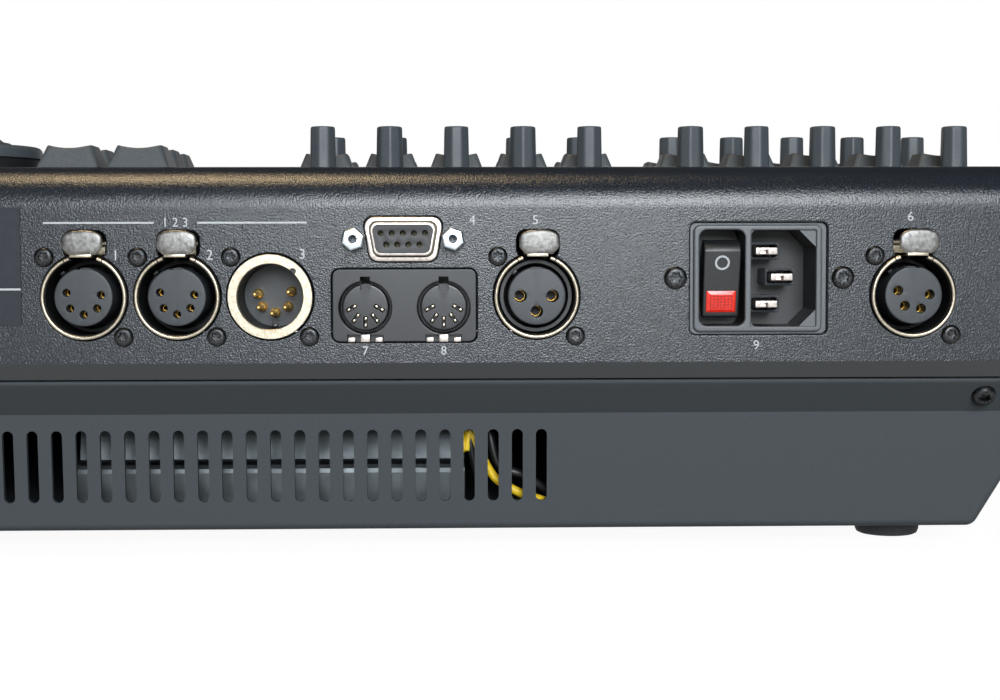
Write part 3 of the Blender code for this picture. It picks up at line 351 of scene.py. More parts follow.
shell = moved(prism(case_outline(0), -HALF_WIDTH, HALF_WIDTH), ALONG_X)
shell = softened(shell, 1.5, 60, 4)
hollow = moved(prism(case_outline(CASE_WALL), CASE_WALL - HALF_WIDTH, HALF_WIDTH - CASE_WALL), ALONG_X)
side = HALF_WIDTH - PANEL_RIM_SIDE
ends = (FRONT + PANEL_RIM_REAR, REAR - PANEL_RIM_REAR)
corners = [(-side, ends[0]), (side, ends[0]), (side, ends[1]), (-side, ends[1])]
opening = prism(corners, CASE_TOP - 8, CASE_TOP + 8)
round_holes = gathered(
    moved(round_mouth(11.05, 64, 0.25), on_rear(x, SOCKET_Z)) for x in [*FEMALE_X.values(), MALE_X]
)
thumb_holes = gathered(
    moved(mouth(lambda g: rounded(10.7 + 2 * g, 7.2 + 2 * g, 2.4), 0.25), on_rear(x - 0.3, SOCKET_Z + 13.1))
    for x in FEMALE_X.values()
)
windows = gathered([
    moved(mouth(lambda g: tapered(20.0 + 2 * g, 11.7 + 2 * g), 0.2), on_rear(*REMOTE)),
    moved(slot_mouth(36.8, 18.8, 2.1, 0.3), on_rear(*DIN)),
    moved(slot_mouth(34.9, 28.4, 1.5, 0.5), on_rear(*INLET)),
])
shell = carved(shell, hollow, opening, round_holes, thumb_holes, windows)
shell = two_toned(shell, lambda middle, way: middle.z < SEAM + LIP_HEIGHT and way.z < -0.3)
upper_case = add_piece("case_shell", shell, [powder_coat, smooth_paint], level=True)
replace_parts(upper_case, "upper_case")

# Printing on the rear wall: rules and plain numbers, screen printed in white epoxy ink that lies a little
# raised on the coarse coat. A bare polyester overlay with one white rule covers the far end of the wall.

print_ink = grained(new_finish("white_screen_ink", "#b5b8ba", 0.55), 0.5, 0.01, ("#abaeb0", "#bfc2c3"))
overlay_film = grained(
    new_finish("grey_polyester_overlay", "#272a31", 0.5, Specular_IOR_Level=0.25),
    1.6, 0.004, ("#25282f", "#292c33"),
)
OVERLAY = (78.9, 73.8)
RULE_Z = 84.7


def strip(x, y, width, height, low=-0.05, high=0.06):
    """A thin printed or laid strip about a place."""
    return prism(shifted(rounded(width, height, min(width, height) * 0.2, 2), x, y), low, high)


def figures(text, size, x=0.0, y=0.0, low=0.0, high=0.06):
    """Plain numbers as thin printed shapes, their height in millimetres, centred on a place."""
    curve = bpy.data.curves.new("figures", "FONT")
    curve.body = text
    curve.size = size * 1.4
    curve.align_x = "CENTER"
    curve.align_y = "CENTER"
    curve.resolution_u = 3
    curve.extrude = (high - low) / 2
    holder = bpy.data.objects.new("figures", curve)
    bpy.context.scene.collection.objects.link(holder)
    form = bmesh.new()
    form.from_mesh(holder.evaluated_get(bpy.context.evaluated_depsgraph_get()).to_mesh())
    bpy.data.objects.remove(holder)
    bpy.data.curves.remove(curve)
    bmesh.ops.remove_doubles(form, verts=form.verts, dist=0.001)
    return moved(form, spot(x, y, (low + high) / 2))


rear_marks = [
    moved(strip(0, 0, 27.6, 0.45), on_rear(23.4, RULE_Z)),
    moved(strip(0, 0, 27.4, 0.45), on_rear(-14.95, RULE_Z)),
]
for text, x, z, size in (
    ("1", 19.3, 76.5, 2.6), ("2", -4.2, 76.5, 2.6), ("3", -27.4, 76.7, 2.6), ("1 2 3", 4.3, RULE_Z, 2.3),
    ("4", -70.2, 85.2, 2.4), ("5", -86.1, 85.2, 2.4), ("6", -181.3, 85.9, 2.4), ("7", -43.1, 52.3, 2.2),
    ("8", -62.9, 52.3, 2.2), ("9", -142.2, 53.4, 2.4),
):
    rear_marks.append(moved(figures(text, size), on_rear(x, z)))
add_piece("rear_printing", gathered(rear_marks), print_ink)
overlay = softened(prism(rounded(72, 29.6, 0.15), -0.05, 0.28), 0.08, 60, 1)
add_piece("rear_overlay", moved(overlay, on_rear(*OVERLAY)), overlay_film)
rule = moved(strip(0, 0, 71.8, 0.5, 0.2, 0.31), on_rear(OVERLAY[0], 68.1))
add_piece("overlay_rule", rule, print_ink)

# Control panel: a plate of 2 mm aluminium let into the top of the case and punched for every control. It has
# a smooth satin lacquer, with scales, column numbers and rules screen printed on it in a pale ink.

panel_lacquer = grained(
    new_finish("satin_panel_lacquer", "#2c2f33", 0.42), 0.35, 0.012, ("#292c30", "#2f3337"), (0.38, 0.48)
)
PANEL_TOP = box_of("control_panel")[1][2]
column_x = [middle_of(f"rear_knob_{n:02d}")[0] for n in range(1, 11)]
knob_y = [middle_of(f"{row}_knob_01")[1] for row in ("rear", "front")]
FADER_START = middle_of("fader_cap_01")[1]
FADER_TRAVEL = 60.0
SCALE_RADIUS = 5.6


def dress(node, finish, edge=0.0):
    """Gives a CAD node its finish, and rolls its edges by a width in millimetres."""
    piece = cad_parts[node]
    for place in piece.material_slots:
        place.material = finish
    if edge:
        piece.modifiers.new("joined", "WELD").merge_threshold = 0.00001
        roll = piece.modifiers.new("rolled", "BEVEL")
        roll.width = edge / 1000
        roll.segments = 2
        roll.limit_method = "ANGLE"
        roll.angle_limit = math.radians(50)
        roll.harden_normals = True
    return piece


dress("control_panel", panel_lacquer, 0.25)
panel_marks = []
for number, x in enumerate(column_x, 1):
    for y in knob_y:
        for step in range(11):
            angle = 225 - 27 * step
            tick = strip(0, 0, 1.3 if step % 5 else 1.8, 0.28)
            tick = moved(tick, Matrix.Rotation(math.radians(angle), 4, "Z"))
            panel_marks.append(moved(tick, spot(x, y) @ polar(SCALE_RADIUS, angle)))
    for step in range(11):
        y = FADER_START + FADER_TRAVEL * step / 10
        for side in (-1, 1):
            panel_marks.append(strip(x + side * 3.1, y, 1.4 if step % 5 else 2.2, 0.25))
        if step % 5 == 0:
            panel_marks.append(figures(str(step), 1.5, x - 6.0, y))
    panel_marks.append(figures(str(number), 2.4, x, -79.5))
for left, right in ((column_x[0], column_x[4]), (column_x[5], column_x[9])):
    for y in (70.5, 28.0, -53.5):
        panel_marks.append(strip((left + right) / 2, y, right - left + 16, 0.3))
panel_print = moved(gathered(panel_marks), spot(0, 0, PANEL_TOP))
add_piece("panel_printing", panel_print, print_ink)

# Base: a pan of 1.5 mm sheet steel folded up on four sides under the case. The rear wall has a sloping band
# below the seam and a row of punched cooling slots. It is sprayed with a smooth matt grey enamel.

pan_low, pan_high = box_of("base_housing")
PAN_TOP = pan_high[2] + 0.15
PAN_BOTTOM = pan_low[2]
PAN_FOLD = PAN_TOP - BAND_HEIGHT
PAN_WALL = 1.5
WALL_LEAN = 2.0
SIDE_SLOPE = math.tan(math.radians(30.5))
SLOT_Z = 21.6
SLOT_PITCH = 6.3
SLOT_COUNT = 29


def pan_ring(wall, z):
    """The pan's outline at a height, drawn in by its wall."""
    drop = PAN_TOP - z
    half = HALF_WIDTH - 0.3 - drop * SIDE_SLOPE - wall
    if z >= PAN_FOLD:
        rear = REAR - LIP_INSET - BAND_INSET * drop / BAND_HEIGHT - wall
    else:
        lean = WALL_LEAN * (PAN_FOLD - z) / (PAN_FOLD - PAN_BOTTOM)
        rear = REAR - LIP_INSET - BAND_INSET - lean - wall
    front = FRONT + LIP_INSET + drop * SIDE_SLOPE + wall
    return [(half, rear, z), (-half, rear, z), (-half, front, z), (half, front, z)]


pan_enamel = grained(
    new_finish("matt_grey_enamel", "#43484b", 0.5, Specular_IOR_Level=0.05),
    0.3, 0.006, ("#44484b", "#494d50"), (0.46, 0.56),
)
pan = softened(skin([pan_ring(0, z) for z in (PAN_BOTTOM, PAN_FOLD, PAN_TOP)]), 2.0, 45, 5)
pan_inside = skin([pan_ring(PAN_WALL, z) for z in (PAN_BOTTOM + PAN_WALL, PAN_FOLD, PAN_TOP + 2)])
stadium = arc((0, 8.05), 1.45, 0, 180, 12) + arc((0, -8.05), 1.45, 180, 360, 12)
slot_x = [SLOT_PITCH * (i - SLOT_COUNT // 2) for i in range(SLOT_COUNT)]
slots = gathered(moved(prism(stadium, -22, -6), on_rear(x, SLOT_Z)) for x in slot_x)
pan = carved(pan, pan_inside, slots)
base_pan = add_piece("base_pan", pan, pan_enamel, level=True)
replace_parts(base_pan, "base_housing")

# Feet: four moulded rubber discs, each held by a screw up its middle. Black rubber with a dull bloom.

foot_rubber = grained(new_finish("bloomed_black_rubber", "#2c2e30", 0.8), 0.9, 0.02, ("#27292b", "#343638"))
foot_screw = grained(new_finish("zinc_plated_steel", "#a9abac", 0.35, 1.0), 0.6, 0.004)
for end in ("front", "rear"):
    for hand in ("left", "right"):
        node = f"foot_{end}_{hand}"
        place = spot(*middle_of(node)[:2])
        profile = [(0, 4.2), (8.8, 4.2), (8.8, 3.2), (8.55, 1.2), (8.2, 0.35), (7.5, 0), (4.1, 0), (3.7, 0.3)]
        profile += [(3.3, 2.1), (0, 2.1)]
        foot = add_piece(f"{node}_pad", turned(profile), foot_rubber, place=place)
        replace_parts(foot, node)
        head = turned([(0, 2.0), (2.7, 2.0), (2.6, 1.3), (1.6, 0.9), (0.9, 0.9), (0.8, 1.5), (0, 1.5)], 24)
        add_piece(f"{node}_screw", head, foot_screw, place=place)

# Screws: pan heads with a six-lobed recess, cold formed from steel wire and dipped in a black oxide that
# came out a little uneven. Two hold each round socket, two the mains inlet and two the band of the pan.

black_oxide = grained(
    new_finish("black_oxide_steel", "#2e2f30", 0.34, 1.0), 0.5, 0.015, ("#212223", "#434445"), (0.28, 0.46)
)


def lobed_screw(radius, rise, depth):
    """A pan head that stands on its own face, with its recess."""
    rings = [[(0, 0, -0.2)]]
    for share, level in ((1, -0.2), (1, 0.3), (0.97, 0.5), (0.88, 0.8), (0.74, 0.95), (0.58, 1.0)):
        high = rise * level if level > 0 else level
        rings.append([(x, y, high) for x, y in circle(radius * share, 48)])
    for share, level in ((0.47, rise * 0.99), (0.45, rise - 0.1), (0.42, rise - depth)):
        lobes = []
        for i in range(48):
            angle = math.radians(7.5 * i)
            reach = radius * share * (1 + 0.15 * math.cos(6 * angle))
            lobes.append((reach * math.cos(angle), reach * math.sin(angle), level))
        rings.append(lobes)
    rings.append([(0, 0, rise - depth - 0.15)])
    return skin(rings)


screws = []
for number, x in enumerate([*FEMALE_X.values(), MALE_X]):
    for side in (-1, 1):
        place = on_rear(x - side * 9.8, SOCKET_Z - side * 10.05, 0, 17 * number)
        screws.append(moved(lobed_screw(2.45, 1.3, 0.9), place))
for x in (-121.55, -164.15):
    screws.append(moved(lobed_screw(2.9, 1.4, 1.0), on_rear(x, 70.6, 0, x)))
add_piece("rear_screws", gathered(screws), black_oxide)
band_turn = Matrix.Rotation(math.atan2(BAND_INSET, BAND_HEIGHT), 4, "X")
band_screws = []
for x in (-203.0, 203.0):
    place = on_rear(x, PAN_TOP - 4.6, -LIP_INSET - BAND_INSET * 4.6 / BAND_HEIGHT) @ band_turn
    band_screws.append(moved(lobed_screw(3.1, 1.7, 1.2), place))
add_piece("band_screws", gathered(band_screws), black_oxide)

# Female round sockets: a die-cast shell behind the wall shows as a bright nickel-plated rim, open at the top
# for the latch. A black well and sleeve surround the grey nylon insert with its gold-flashed brass contacts.
# The well and the deeper sleeves are coloured a darker black than the other mouldings, as painted shade deep
# in the socket. Small plain digits are moulded beside the contacts, and the well is notched where the latch
# dips into it.

FIVE_WAY = [(4.37, angle) for angle in (165, 220, 270, 320, 7)]
CONTACTS = {
    "out_socket_1": (FIVE_WAY, 0.96),
    "out_socket_2": (FIVE_WAY, 0.96),
    "timecode_socket": ([(4.1, 180), (3.9, 270), (4.0, 0)], 1.5),
    "lamp_socket": ([(4.15, 164), (3.5, 231), (3.95, 299), (4.1, 2)], 1.2),
}
nickel = grained(
    new_finish("satin_nickel_plate", "#aaa18f", 0.34, 1.0), 0.6, 0.03, ("#9a917e", "#b9b1a0"), (0.28, 0.42)
)
black_moulding = grained(
    new_finish("black_glass_filled_nylon", "#17181a", 0.45), 0.4, 0.008, ("#141517", "#1b1c1e"), (0.4, 0.52)
)
grey_nylon = grained(
    new_finish("grey_glass_filled_nylon", "#2f3337", 0.5), 0.35, 0.012, ("#2c3034", "#32363a"), (0.46, 0.56)
)
# Black nylon, coloured darker and less glossy than the other black mouldings: painted shade deep in the
# sockets.
well_black_and_shade = grained(new_finish("matt_black_nylon_with_painted_shade", "#0e0f10", 0.6, Specular_IOR_Level=0.3), 0.4, 0.01)
brass = grained(new_finish("gold_flashed_brass", "#e0b050", 0.36, 1.0), 0.5, 0.004)
hard_gold = grained(new_finish("hard_gold_plate", "#ffdb8c", 0.5, 1.0), 0.5, 0.004)


def swept(section, start, end, steps):
    """A section of (radius, height) points carried round part of a circle."""
    rings = []
    for x, y in arc((0, 0), 1, start, end, steps):
        rings.append([(x * radius, y * radius, height) for radius, height in section])
    return skin(rings)


def block(low, high, edge=0.0, segments=2):
    """A box between two corners, with its edges rounded."""
    (x, y, z), (a, b, c) = low, high
    form = prism([(x, y), (a, y), (a, b), (x, b)], z, c)
    return softened(form, edge, 40, segments) if edge else form


RIM = [(9.75, -0.6), *arc((10.25, 0.7), 0.5, 180, 0, 8), (10.75, -0.6)]
for name, x in FEMALE_X.items():
    place = on_rear(x, SOCKET_Z)
    spots, bore = CONTACTS[name]
    rim = gathered([swept(RIM, 118.5, 421.5, 120), swept(RIM, 110, 116.7, 5), swept(RIM, 63.3, 70, 5)])
    piece = add_piece(f"{name}_rim", rim, nickel, place=place)
    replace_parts(piece, name)
    well = turned([(0, -14.4), (9.7, -14.4), (9.7, -0.1), (10.3, -0.1), (10.3, -22), (0, -22)], 64)
    well = carved(well, block((-3.2, 7.5, -14.2), (3.3, 11, 1)))
    add_piece(f"{name}_well", well, well_black_and_shade, place=place)
    # The deep sleeves take the darker black of painted shade; the shallower timecode sleeve keeps plain
    # black.
    if name == "timecode_socket":
        top, sleeve_finish, tube_share, tube_top = -4.3, black_moulding, 0.82, -6.4
    else:
        top, sleeve_finish, tube_share, tube_top = -9.5, well_black_and_shade, 0.74, -3.6
    sleeve = turned([(8.05, -12), (8.05, top - 0.3), (8.3, top), (9.15, top), (9.15, -12)], 64, loop=True)
    rib = block((-0.6, -0.35, -12), (0.6, 0.35, -1.1), 0.12)
    sleeve = gathered([sleeve, moved(rib, spot(-5.5, 6.0) @ Matrix.Rotation(0.7, 4, "Z"))])
    add_piece(f"{name}_sleeve", sleeve, sleeve_finish, place=place)
    insert = turned([(0, -14), (7.35, -14), (7.35, 0.35), (7.2, 0.7), (6.85, 0.9), (0, 0.9)], 64)
    holes = gathered(moved(round_mouth(bore, 24, 0.22, -9), polar(r, a, 0.9)) for r, a in spots)
    boss = turned([(1.0, 0.6), (1.0, 0.96), (1.25, 0.96), (1.25, 0.6)], 32, loop=True)
    insert = gathered([carved(insert, holes, block((-1.6, 6.85, -3), (1.6, 9, 2))), boss])
    add_piece(f"{name}_insert", insert, grey_nylon, place=place, level=True)
    digits = [
        moved(figures(str(len(spots) - i), 1.1, low=0.8, high=0.94), polar(r + 1.7, a))
        for i, (r, a) in enumerate(spots)
    ]
    add_piece(f"{name}_digits", gathered(digits), black_moulding, place=place)
    inner, outer = bore * tube_share, bore * 0.9
    profile = [(inner, tube_top), (outer, tube_top), (outer, -8), (inner, -8)]
    tubes = [moved(turned(profile, 20, loop=True), polar(r, a)) for r, a in spots]
    add_piece(f"{name}_contacts", gathered(tubes), brass, place=place)

# Latches: a thumb tab stamped from nickel-plated steel on the end of a lever that turns behind the wall. The
# tab is slightly crowned and left plain, with a tumbled face inside a brighter rim.

tab_face = grained(
    new_finish("tumbled_nickel_plate", "#6c6b69", 0.4, 1.0), 0.9, 0.05, ("#5d5c5a", "#7c7b79"), (0.34, 0.5)
)
TAB_OUTLINE = [
    (5.0, 1.0), (4.75, 1.7), (4.1, 2.3), (2.6, 2.9), (0, 3.1), (-2.6, 2.9), (-4.1, 2.3), (-4.75, 1.7),
    (-5.0, 1.0), (-5.0, -1.1), (-4.7, -1.7), (-3.4, -3.0), (0, -3.1), (3.4, -3.0), (4.7, -1.7), (5.0, -1.1),
]


def tab_ring(growth):
    """The tab's outline, grown or shrunk in proportion."""
    return [(x * (1 + growth / 5), y * (1 + growth / 3.1)) for x, y in TAB_OUTLINE]


for name, x in FEMALE_X.items():
    latch = name.replace("socket", "latch")
    place = on_rear(x, SOCKET_Z)
    crown = [(-0.3, 3.4), (0, 3.6), (0, 3.95), (-0.12, 4.15), (-0.4, 4.3), (-1.2, 4.36), (-2.2, 4.4)]
    tab = two_toned(moved(tiered(tab_ring, crown), spot(0.5, 13.6)), lambda middle, way: middle.z > 4.2)
    arm = block((-2.6, 9.95, -12.4), (2.8, 10.75, 4.3), 0.2)
    web = block((-2.5, 10.3, 3.2), (2.7, 12.4, 3.8), 0.1)
    riser = block((-2.9, 10.3, -12.6), (3.1, 14.0, -11.4), 0.2)
    barrel = turned([(0, -3.5), (1.1, -3.5), (1.1, 3.5), (0, 3.5)], 20)
    barrel = moved(barrel, spot(0.1, 13.5, -12) @ Matrix.Rotation(math.pi / 2, 4, "Y"))
    lever = gathered([tab, arm, web, riser, barrel])
    piece = add_piece(f"{latch}_lever", lever, [nickel, tab_face], latch, place)
    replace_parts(piece, latch)

# Male round socket: a broad flat nickel-plated rim with a keyway, bitten away beside its two screws, round a
# deep black well whose grey floor carries five turned and gold-plated pins and an earth tab, coloured black
# as painted shade in the dark keyway.

place = on_rear(MALE_X, SOCKET_Z)
rim = turned([(8.3, -1.5), (8.3, 0.85), (8.45, 1.0), (10.55, 1.0), (10.7, 0.8), (10.7, -1.5)], 96, loop=True)
bites = [moved(prism(circle(3.1, 32), -3, 3), spot(-side * 9.9, side * 9.9)) for side in (-1, 1)]
keyway = moved(prism(circle(0.85, 20), -3, 3), spot(5.75, 6.35))
rim = carved(rim, gathered([*bites, keyway]))
piece = add_piece("in_socket_rim", rim, nickel, place=place)
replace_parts(piece, "in_socket")
well = turned([(0, -12.9), (8.25, -12.9), (8.25, -0.5), (9.6, -0.5), (9.6, -22), (0, -22)], 64)
add_piece("in_socket_well", well, black_moulding, place=place)
floor = turned([(0, -12.5), (8.0, -12.5), (8.2, -12.7), (8.2, -13.5), (0, -13.5)], 64)
floor = carved(floor, block((-0.9, -9, -14), (0.9, -6.3, -12)))
add_piece("in_socket_floor", floor, grey_nylon, place=place)
# The earth tab is coloured black oxide as painted shade for the dark keyway at the foot of the floor.
earth_tab = block((-0.8, -8.1, -12.6), (0.6, -7.3, -9.5), 0.1)
add_piece("in_socket_tab", earth_tab, black_oxide, place=place)
PIN = [(0, -13), (1.3, -13), (1.3, -11.4), (1.15, -10.7), (0.85, -10.25), (0.62, -10.1), (0.62, -3.4)]
PIN += [(0.5, -2.9), (0.25, -2.65), (0, -2.58)]
pins = [moved(turned(PIN, 24), polar(r, 180 - a)) for r, a in FIVE_WAY]
add_piece("in_socket_pins", gathered(pins), hard_gold, place=place)

# Nine-way remote socket: a tin-plated steel flange drawn from sheet, an olive chromate groove round the pale
# lip of its shell, a black insert with sunken contacts and two hexagonal jack posts with a threaded bore. The
# groove floor's dark olive is partly its chromate and partly painted shade in the narrow groove.

tin_plate = grained(
    new_finish("tin_plated_steel", "#b9b0aa", 0.36, 1.0), 0.8, 0.03, ("#aaa19b", "#c8c0ba"), (0.3, 0.44)
)
# Olive chromate zinc, coloured darker as painted shade for the narrow groove that it lines.
chromate = grained(new_finish("olive_chromate_zinc_with_painted_shade", "#55523f", 0.45, 0.6), 0.6, 0.01, ("#48463a", "#625e48"))
bright_zinc = grained(
    new_finish("blue_zinc_plate", "#c2cbd2", 0.36, 1.0), 0.6, 0.02, ("#b2bcc4", "#d2dae0"), (0.3, 0.42)
)
place = on_rear(*REMOTE)
flange = softened(prism(tapered(19.6, 11.2), -1.5, 0.8), 0.35, 60, 3, higher_than(0))
flange = carved(flange, prism(tapered(17.3, 9.2), -3, 3))
piece = add_piece("remote_flange", flange, tin_plate, place=place)
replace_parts(piece, "remote_socket")
add_piece("remote_groove", prism(tapered(17.5, 9.4), -1.6, -0.3), chromate, place=place)
lip = softened(prism(tapered(16.3, 8.3), -1.5, 4.4), 0.25, 60, 3, higher_than(0))
lip = carved(lip, prism(tapered(15.2, 7.2), -3, 6))
add_piece("remote_lip", lip, tin_plate, place=place)
CONTACT_PITCH = 2.77
rows = ((5, 1.45), (4, -1.4))
nine = [(CONTACT_PITCH * (i - (count - 1) / 2), y) for count, y in rows for i in range(count)]
holes = gathered(moved(round_mouth(0.7, 16, 0.12, -5.2), spot(x, y, 4.0)) for x, y in nine)
insert = carved(prism(tapered(15.15, 7.15), -1.5, 4.0), holes)
add_piece("remote_insert", insert, black_moulding, place=place)
profile = [(0.46, -0.4), (0.6, -0.4), (0.6, -1.3), (0.46, -1.3)]
sleeves = [moved(turned(profile, 12, loop=True), spot(x, y)) for x, y in nine]
add_piece("remote_contacts", gathered(sleeves), brass, place=place)
POST_SPREAD = 12.5
posts = []
for side in (-1, 1):
    post = tiered(lambda g: arc((0, 0), 3.1 + g, 30, 390, 6)[:-1], [(0, 0.02), (0, 4.0), (-0.4, 4.5)])
    bore = turned([(0, -1), (0.95, -1), (0.95, 4.2), (1.25, 4.7), (0, 4.7)], 24)
    post = carved(softened(post, 0.12, 30), bore)
    posts.append(moved(post, spot(side * POST_SPREAD, 0) @ Matrix.Rotation(0.2 * side, 4, "Z")))
add_piece("remote_posts", gathered(posts), bright_zinc, place=place)

# Pair of round five-way sockets: one glossy black moulding with a parting line down its middle. In each ring
# shaped recess stands a plug face with a keyway and five slots, where nickel-plated springs show. Three tabs
# of the tin-plated shield come out under each.

glossy_black = grained(
    new_finish("glossy_black_ABS", "#121418", 0.34), 0.9, 0.004, ("#101216", "#15171b"), (0.3, 0.38)
)
place = on_rear(*DIN)
middles = [(side * 9.9, -0.5) for side in (-1, 1)]
body = softened(prism(rounded(36.5, 18.5, 1.9, 8), -17, -0.2), 0.35, 60, 3, higher_than(-1))
recess = gathered(moved(round_mouth(6.6, 64, 0.3, -6.5), spot(x, y, -0.25)) for x, y in middles)
body = carved(body, recess, block((-1.1, -10, -0.3), (-0.9, 10, 0)))
shield_slots = gathered(block((x - 4.6, -9.5, -3), (x + 4.6, -7.35, 1)) for x, y in middles)
keyways = gathered(block((x - 1.25, 5.0, -15), (x + 1.25, 7.3, 1)) for x, y in middles)
body = carved(body, shield_slots, keyways)
piece = add_piece("din_block", body, glossy_black, place=place, level=True)
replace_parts(piece, "din_sockets")
PLUG_SLOTS = ((-3.5, -0.2, 30), (-2.4, -2.7, 54), (0, -3.7, 90), (2.4, -2.7, 126), (3.5, -0.2, 150))
plugs = []
springs = []
for x, y in middles:
    plug = turned([(0, -7), (5.92, -7), (5.92, -1.5), (5.7, -1.2), (5.4, -1.1), (0, -1.1)], 64)
    tools = [block((-1.3, 4.5, -4), (1.3, 7, 1))]
    for u, v, angle in PLUG_SLOTS:
        at = spot(u, v) @ Matrix.Rotation(math.radians(angle), 4, "Z")
        tools.append(moved(block((-1.45, -0.55, -5), (1.45, 0.55, 1), 0.15), at))
        for end in (-1, 1):
            spring = block((end * 0.85 - 0.4, -0.3, -5), (end * 0.85 + 0.4, 0.3, -1.6), 0.14)
            springs.append(moved(spring, spot(x, y) @ at))
    plugs.append(moved(carved(plug, gathered(tools)), spot(x, y)))
add_piece("din_plugs", gathered(plugs), glossy_black, place=place, level=True)
add_piece("din_springs", gathered(springs), nickel, place=place)
shields = [
    block((x + u - width / 2, -9.2, -2.4), (x + u + width / 2, top, -0.1), 0.12)
    for x, y in middles for u, width, top in ((-3.45, 1.8, -8.1), (0, 2.3, -7.4), (3.45, 1.8, -8.1))
]
add_piece("din_shields", gathered(shields), tin_plate, place=place)

# Mains inlet: a module moulded in dark grey polycarbonate with a lightly textured face. Its cavity has two
# cut corners and three slit tin-plated blades in raised collars, and a pocket beside it takes the switch. The
# walls deep in the cavity and the pocket are coloured black, as painted shade.

textured_polycarbonate = grained(
    new_finish("spark_textured_polycarbonate", "#515559", 0.4),
    0.45, 0.035, ("#4c5054", "#575b5f"), (0.36, 0.44),
)
red_lens = grained(
    new_finish("red_polycarbonate", "#ea2a1a", 0.22, Coat_Weight=0.2), 1.2, 0.004, ("#dd2414", "#f23424")
)
lens_groove = new_finish("red_polycarbonate_in_shade", "#8e1a12", 0.4)
place = on_rear(*INLET)
frame_outline = shifted(rounded(32.8, 27.2, 1.7), -0.2, 0)
bezel = softened(prism(frame_outline, -18, -0.2), 0.6, 60, 4, higher_than(-1))
SWITCH_X = -9.3
switch_pocket = moved(slot_mouth(11.6, 24.3, 2.0, 0.45, -13), spot(SWITCH_X, 0.15, -0.2))
corner = 12.2
step = mouth(lambda g: shifted(rounded(16.5 + 2 * g, 2 * corner + 2 * g, 0.3 + g), 6.35, 0), 0.4, -0.7)
step = moved(step, spot(0, 0, -0.2))
cavity = [(10.4, corner), *arc((-0.5, corner - 1.4), 1.4, 90, 180, 5)]
cavity += arc((-0.5, 1.4 - corner), 1.4, 180, 270, 5)
cavity += [(10.4, -corner), (14.6, 4.2 - corner), (14.6, corner - 4.2)]
bezel = carved(bezel, switch_pocket, step, prism(cavity, -16.3, 1))
# Faces more than 0.95 mm deep, in the cavity and the switch pocket, take black nylon: painted shade.
bezel = two_toned(bezel, lambda middle, way: middle.z < -0.95)
bezel = gathered([bezel, carved(prism(rounded(34.6, 28.1, 1.5), -1.9, -1.3), prism(frame_outline, -3, 0))])
finishes = [textured_polycarbonate, black_moulding]
piece = add_piece("inlet_bezel", bezel, finishes, place=place, level=True)
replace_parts(piece, "mains_inlet")
collars = []
blades = []
for u, v in ((2.4, 6.95), (6.35, 0.3), (2.4, -6.6)):
    middle = spot(u, v)
    rings = [(0, -17), (0, -5.9), (-0.25, -5.5), (-0.5, -5.8), (-0.5, -14)]
    collars.append(moved(tiered(lambda g: rounded(7.7 + 2 * g, 4.4 + 2 * g, 0.7), rings), middle))
    blade = softened(prism(rounded(5.8, 1.9, 0.3, 2), -16, -2.6), 0.3, 60, 3, higher_than(-3))
    blades.append(moved(carved(blade, block((-1.7, -0.75, -6), (0.5, 0.45, 0), 0.1)), middle))
add_piece("inlet_collars", gathered(collars), textured_polycarbonate, place=place)
add_piece("inlet_blades", gathered(blades), tin_plate, place=place)

# Switch rocker: black glass-filled nylon with a printed ring at its raised end, which is off, and a red
# polycarbonate lens with a moulded grid set in its lower half. The edges of the rocker are rounded.

rocker_nylon = grained(
    new_finish("black_rocker_nylon", "#1e2022", 0.42), 0.4, 0.02, ("#1b1d1f", "#222426"), (0.36, 0.46)
)
ROCKER_LEAN = math.atan2(3.85, 16.75)
side_view = [(-9.75, -3.35), (7.0, 0.5), (8.2, 0.0), (9.2, -1.4), (9.85, -4.6), (2, -8.5), (-2, -8.5)]
side_view += [(-9.7, -5.4), (-10.1, -4.3)]
rocker = softened(moved(prism(side_view, -4.65, 4.65), ALONG_X), 0.4, 25, 3)
rocker = moved(rocker, spot(SWITCH_X, 0))
face_of = spot(SWITCH_X, 0, 0.5 - 7.0 * math.tan(ROCKER_LEAN)) @ Matrix.Rotation(ROCKER_LEAN, 4, "X")
lens_at = face_of @ spot(0, -6.05)
rocker = carved(rocker, moved(prism(rounded(7.6, 5.65, 0.3, 3), -1.2, 2), lens_at))
piece = add_piece("switch_rocker", rocker, rocker_nylon, "mains_rocker", place)
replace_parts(piece, "mains_rocker")
ring = turned([(1.38, -0.1), (1.38, 0.05), (1.88, 0.05), (1.88, -0.1)], loop=True)
ring = moved(ring, face_of @ spot(0, 4.1, 0.02))
add_piece("rocker_ring", ring, print_ink, "mains_rocker", place)
lens = tiered(lambda g: rounded(7.5 + 2 * g, 5.55 + 2 * g, 0.3, 3), [(0, -1.15), (0, 0.1), (-0.86, 0.62)])
grid = [block((0.9 * i - 0.09, -1.75, 0.5), (0.9 * i + 0.09, 1.75, 0.8)) for i in range(-3, 4)]
grid += [block((-2.85, 0.75 * i - 0.08, 0.5), (2.85, 0.75 * i + 0.08, 0.8)) for i in range(-2, 3)]
lens = carved(lens, *grid[:7], gathered(grid[7:]))
lens = two_toned(lens, lambda middle, way: middle.z < 0.56 and abs(middle.x) < 2.87 and abs(middle.y) < 1.78)
lens = moved(lens, lens_at)
add_piece("rocker_lens", lens, [red_lens, lens_groove], "mains_rocker", place)

# Knobs: twenty slim encoder knobs moulded in mid grey ABS, each with eight flats between narrow ridges, a
# round foot and a shallow dome. Each stands at the angle at which it was left.

grey_ABS = grained(
    new_finish("fine_matt_grey_ABS", "#43494e", 0.4, Specular_IOR_Level=0.35),
    0.35, 0.012, ("#3f454a", "#484e53"), (0.38, 0.48),
)
FLAT_REACH = 3.42
CORNER_REACH = 3.62
ROUND_REACH = 3.55


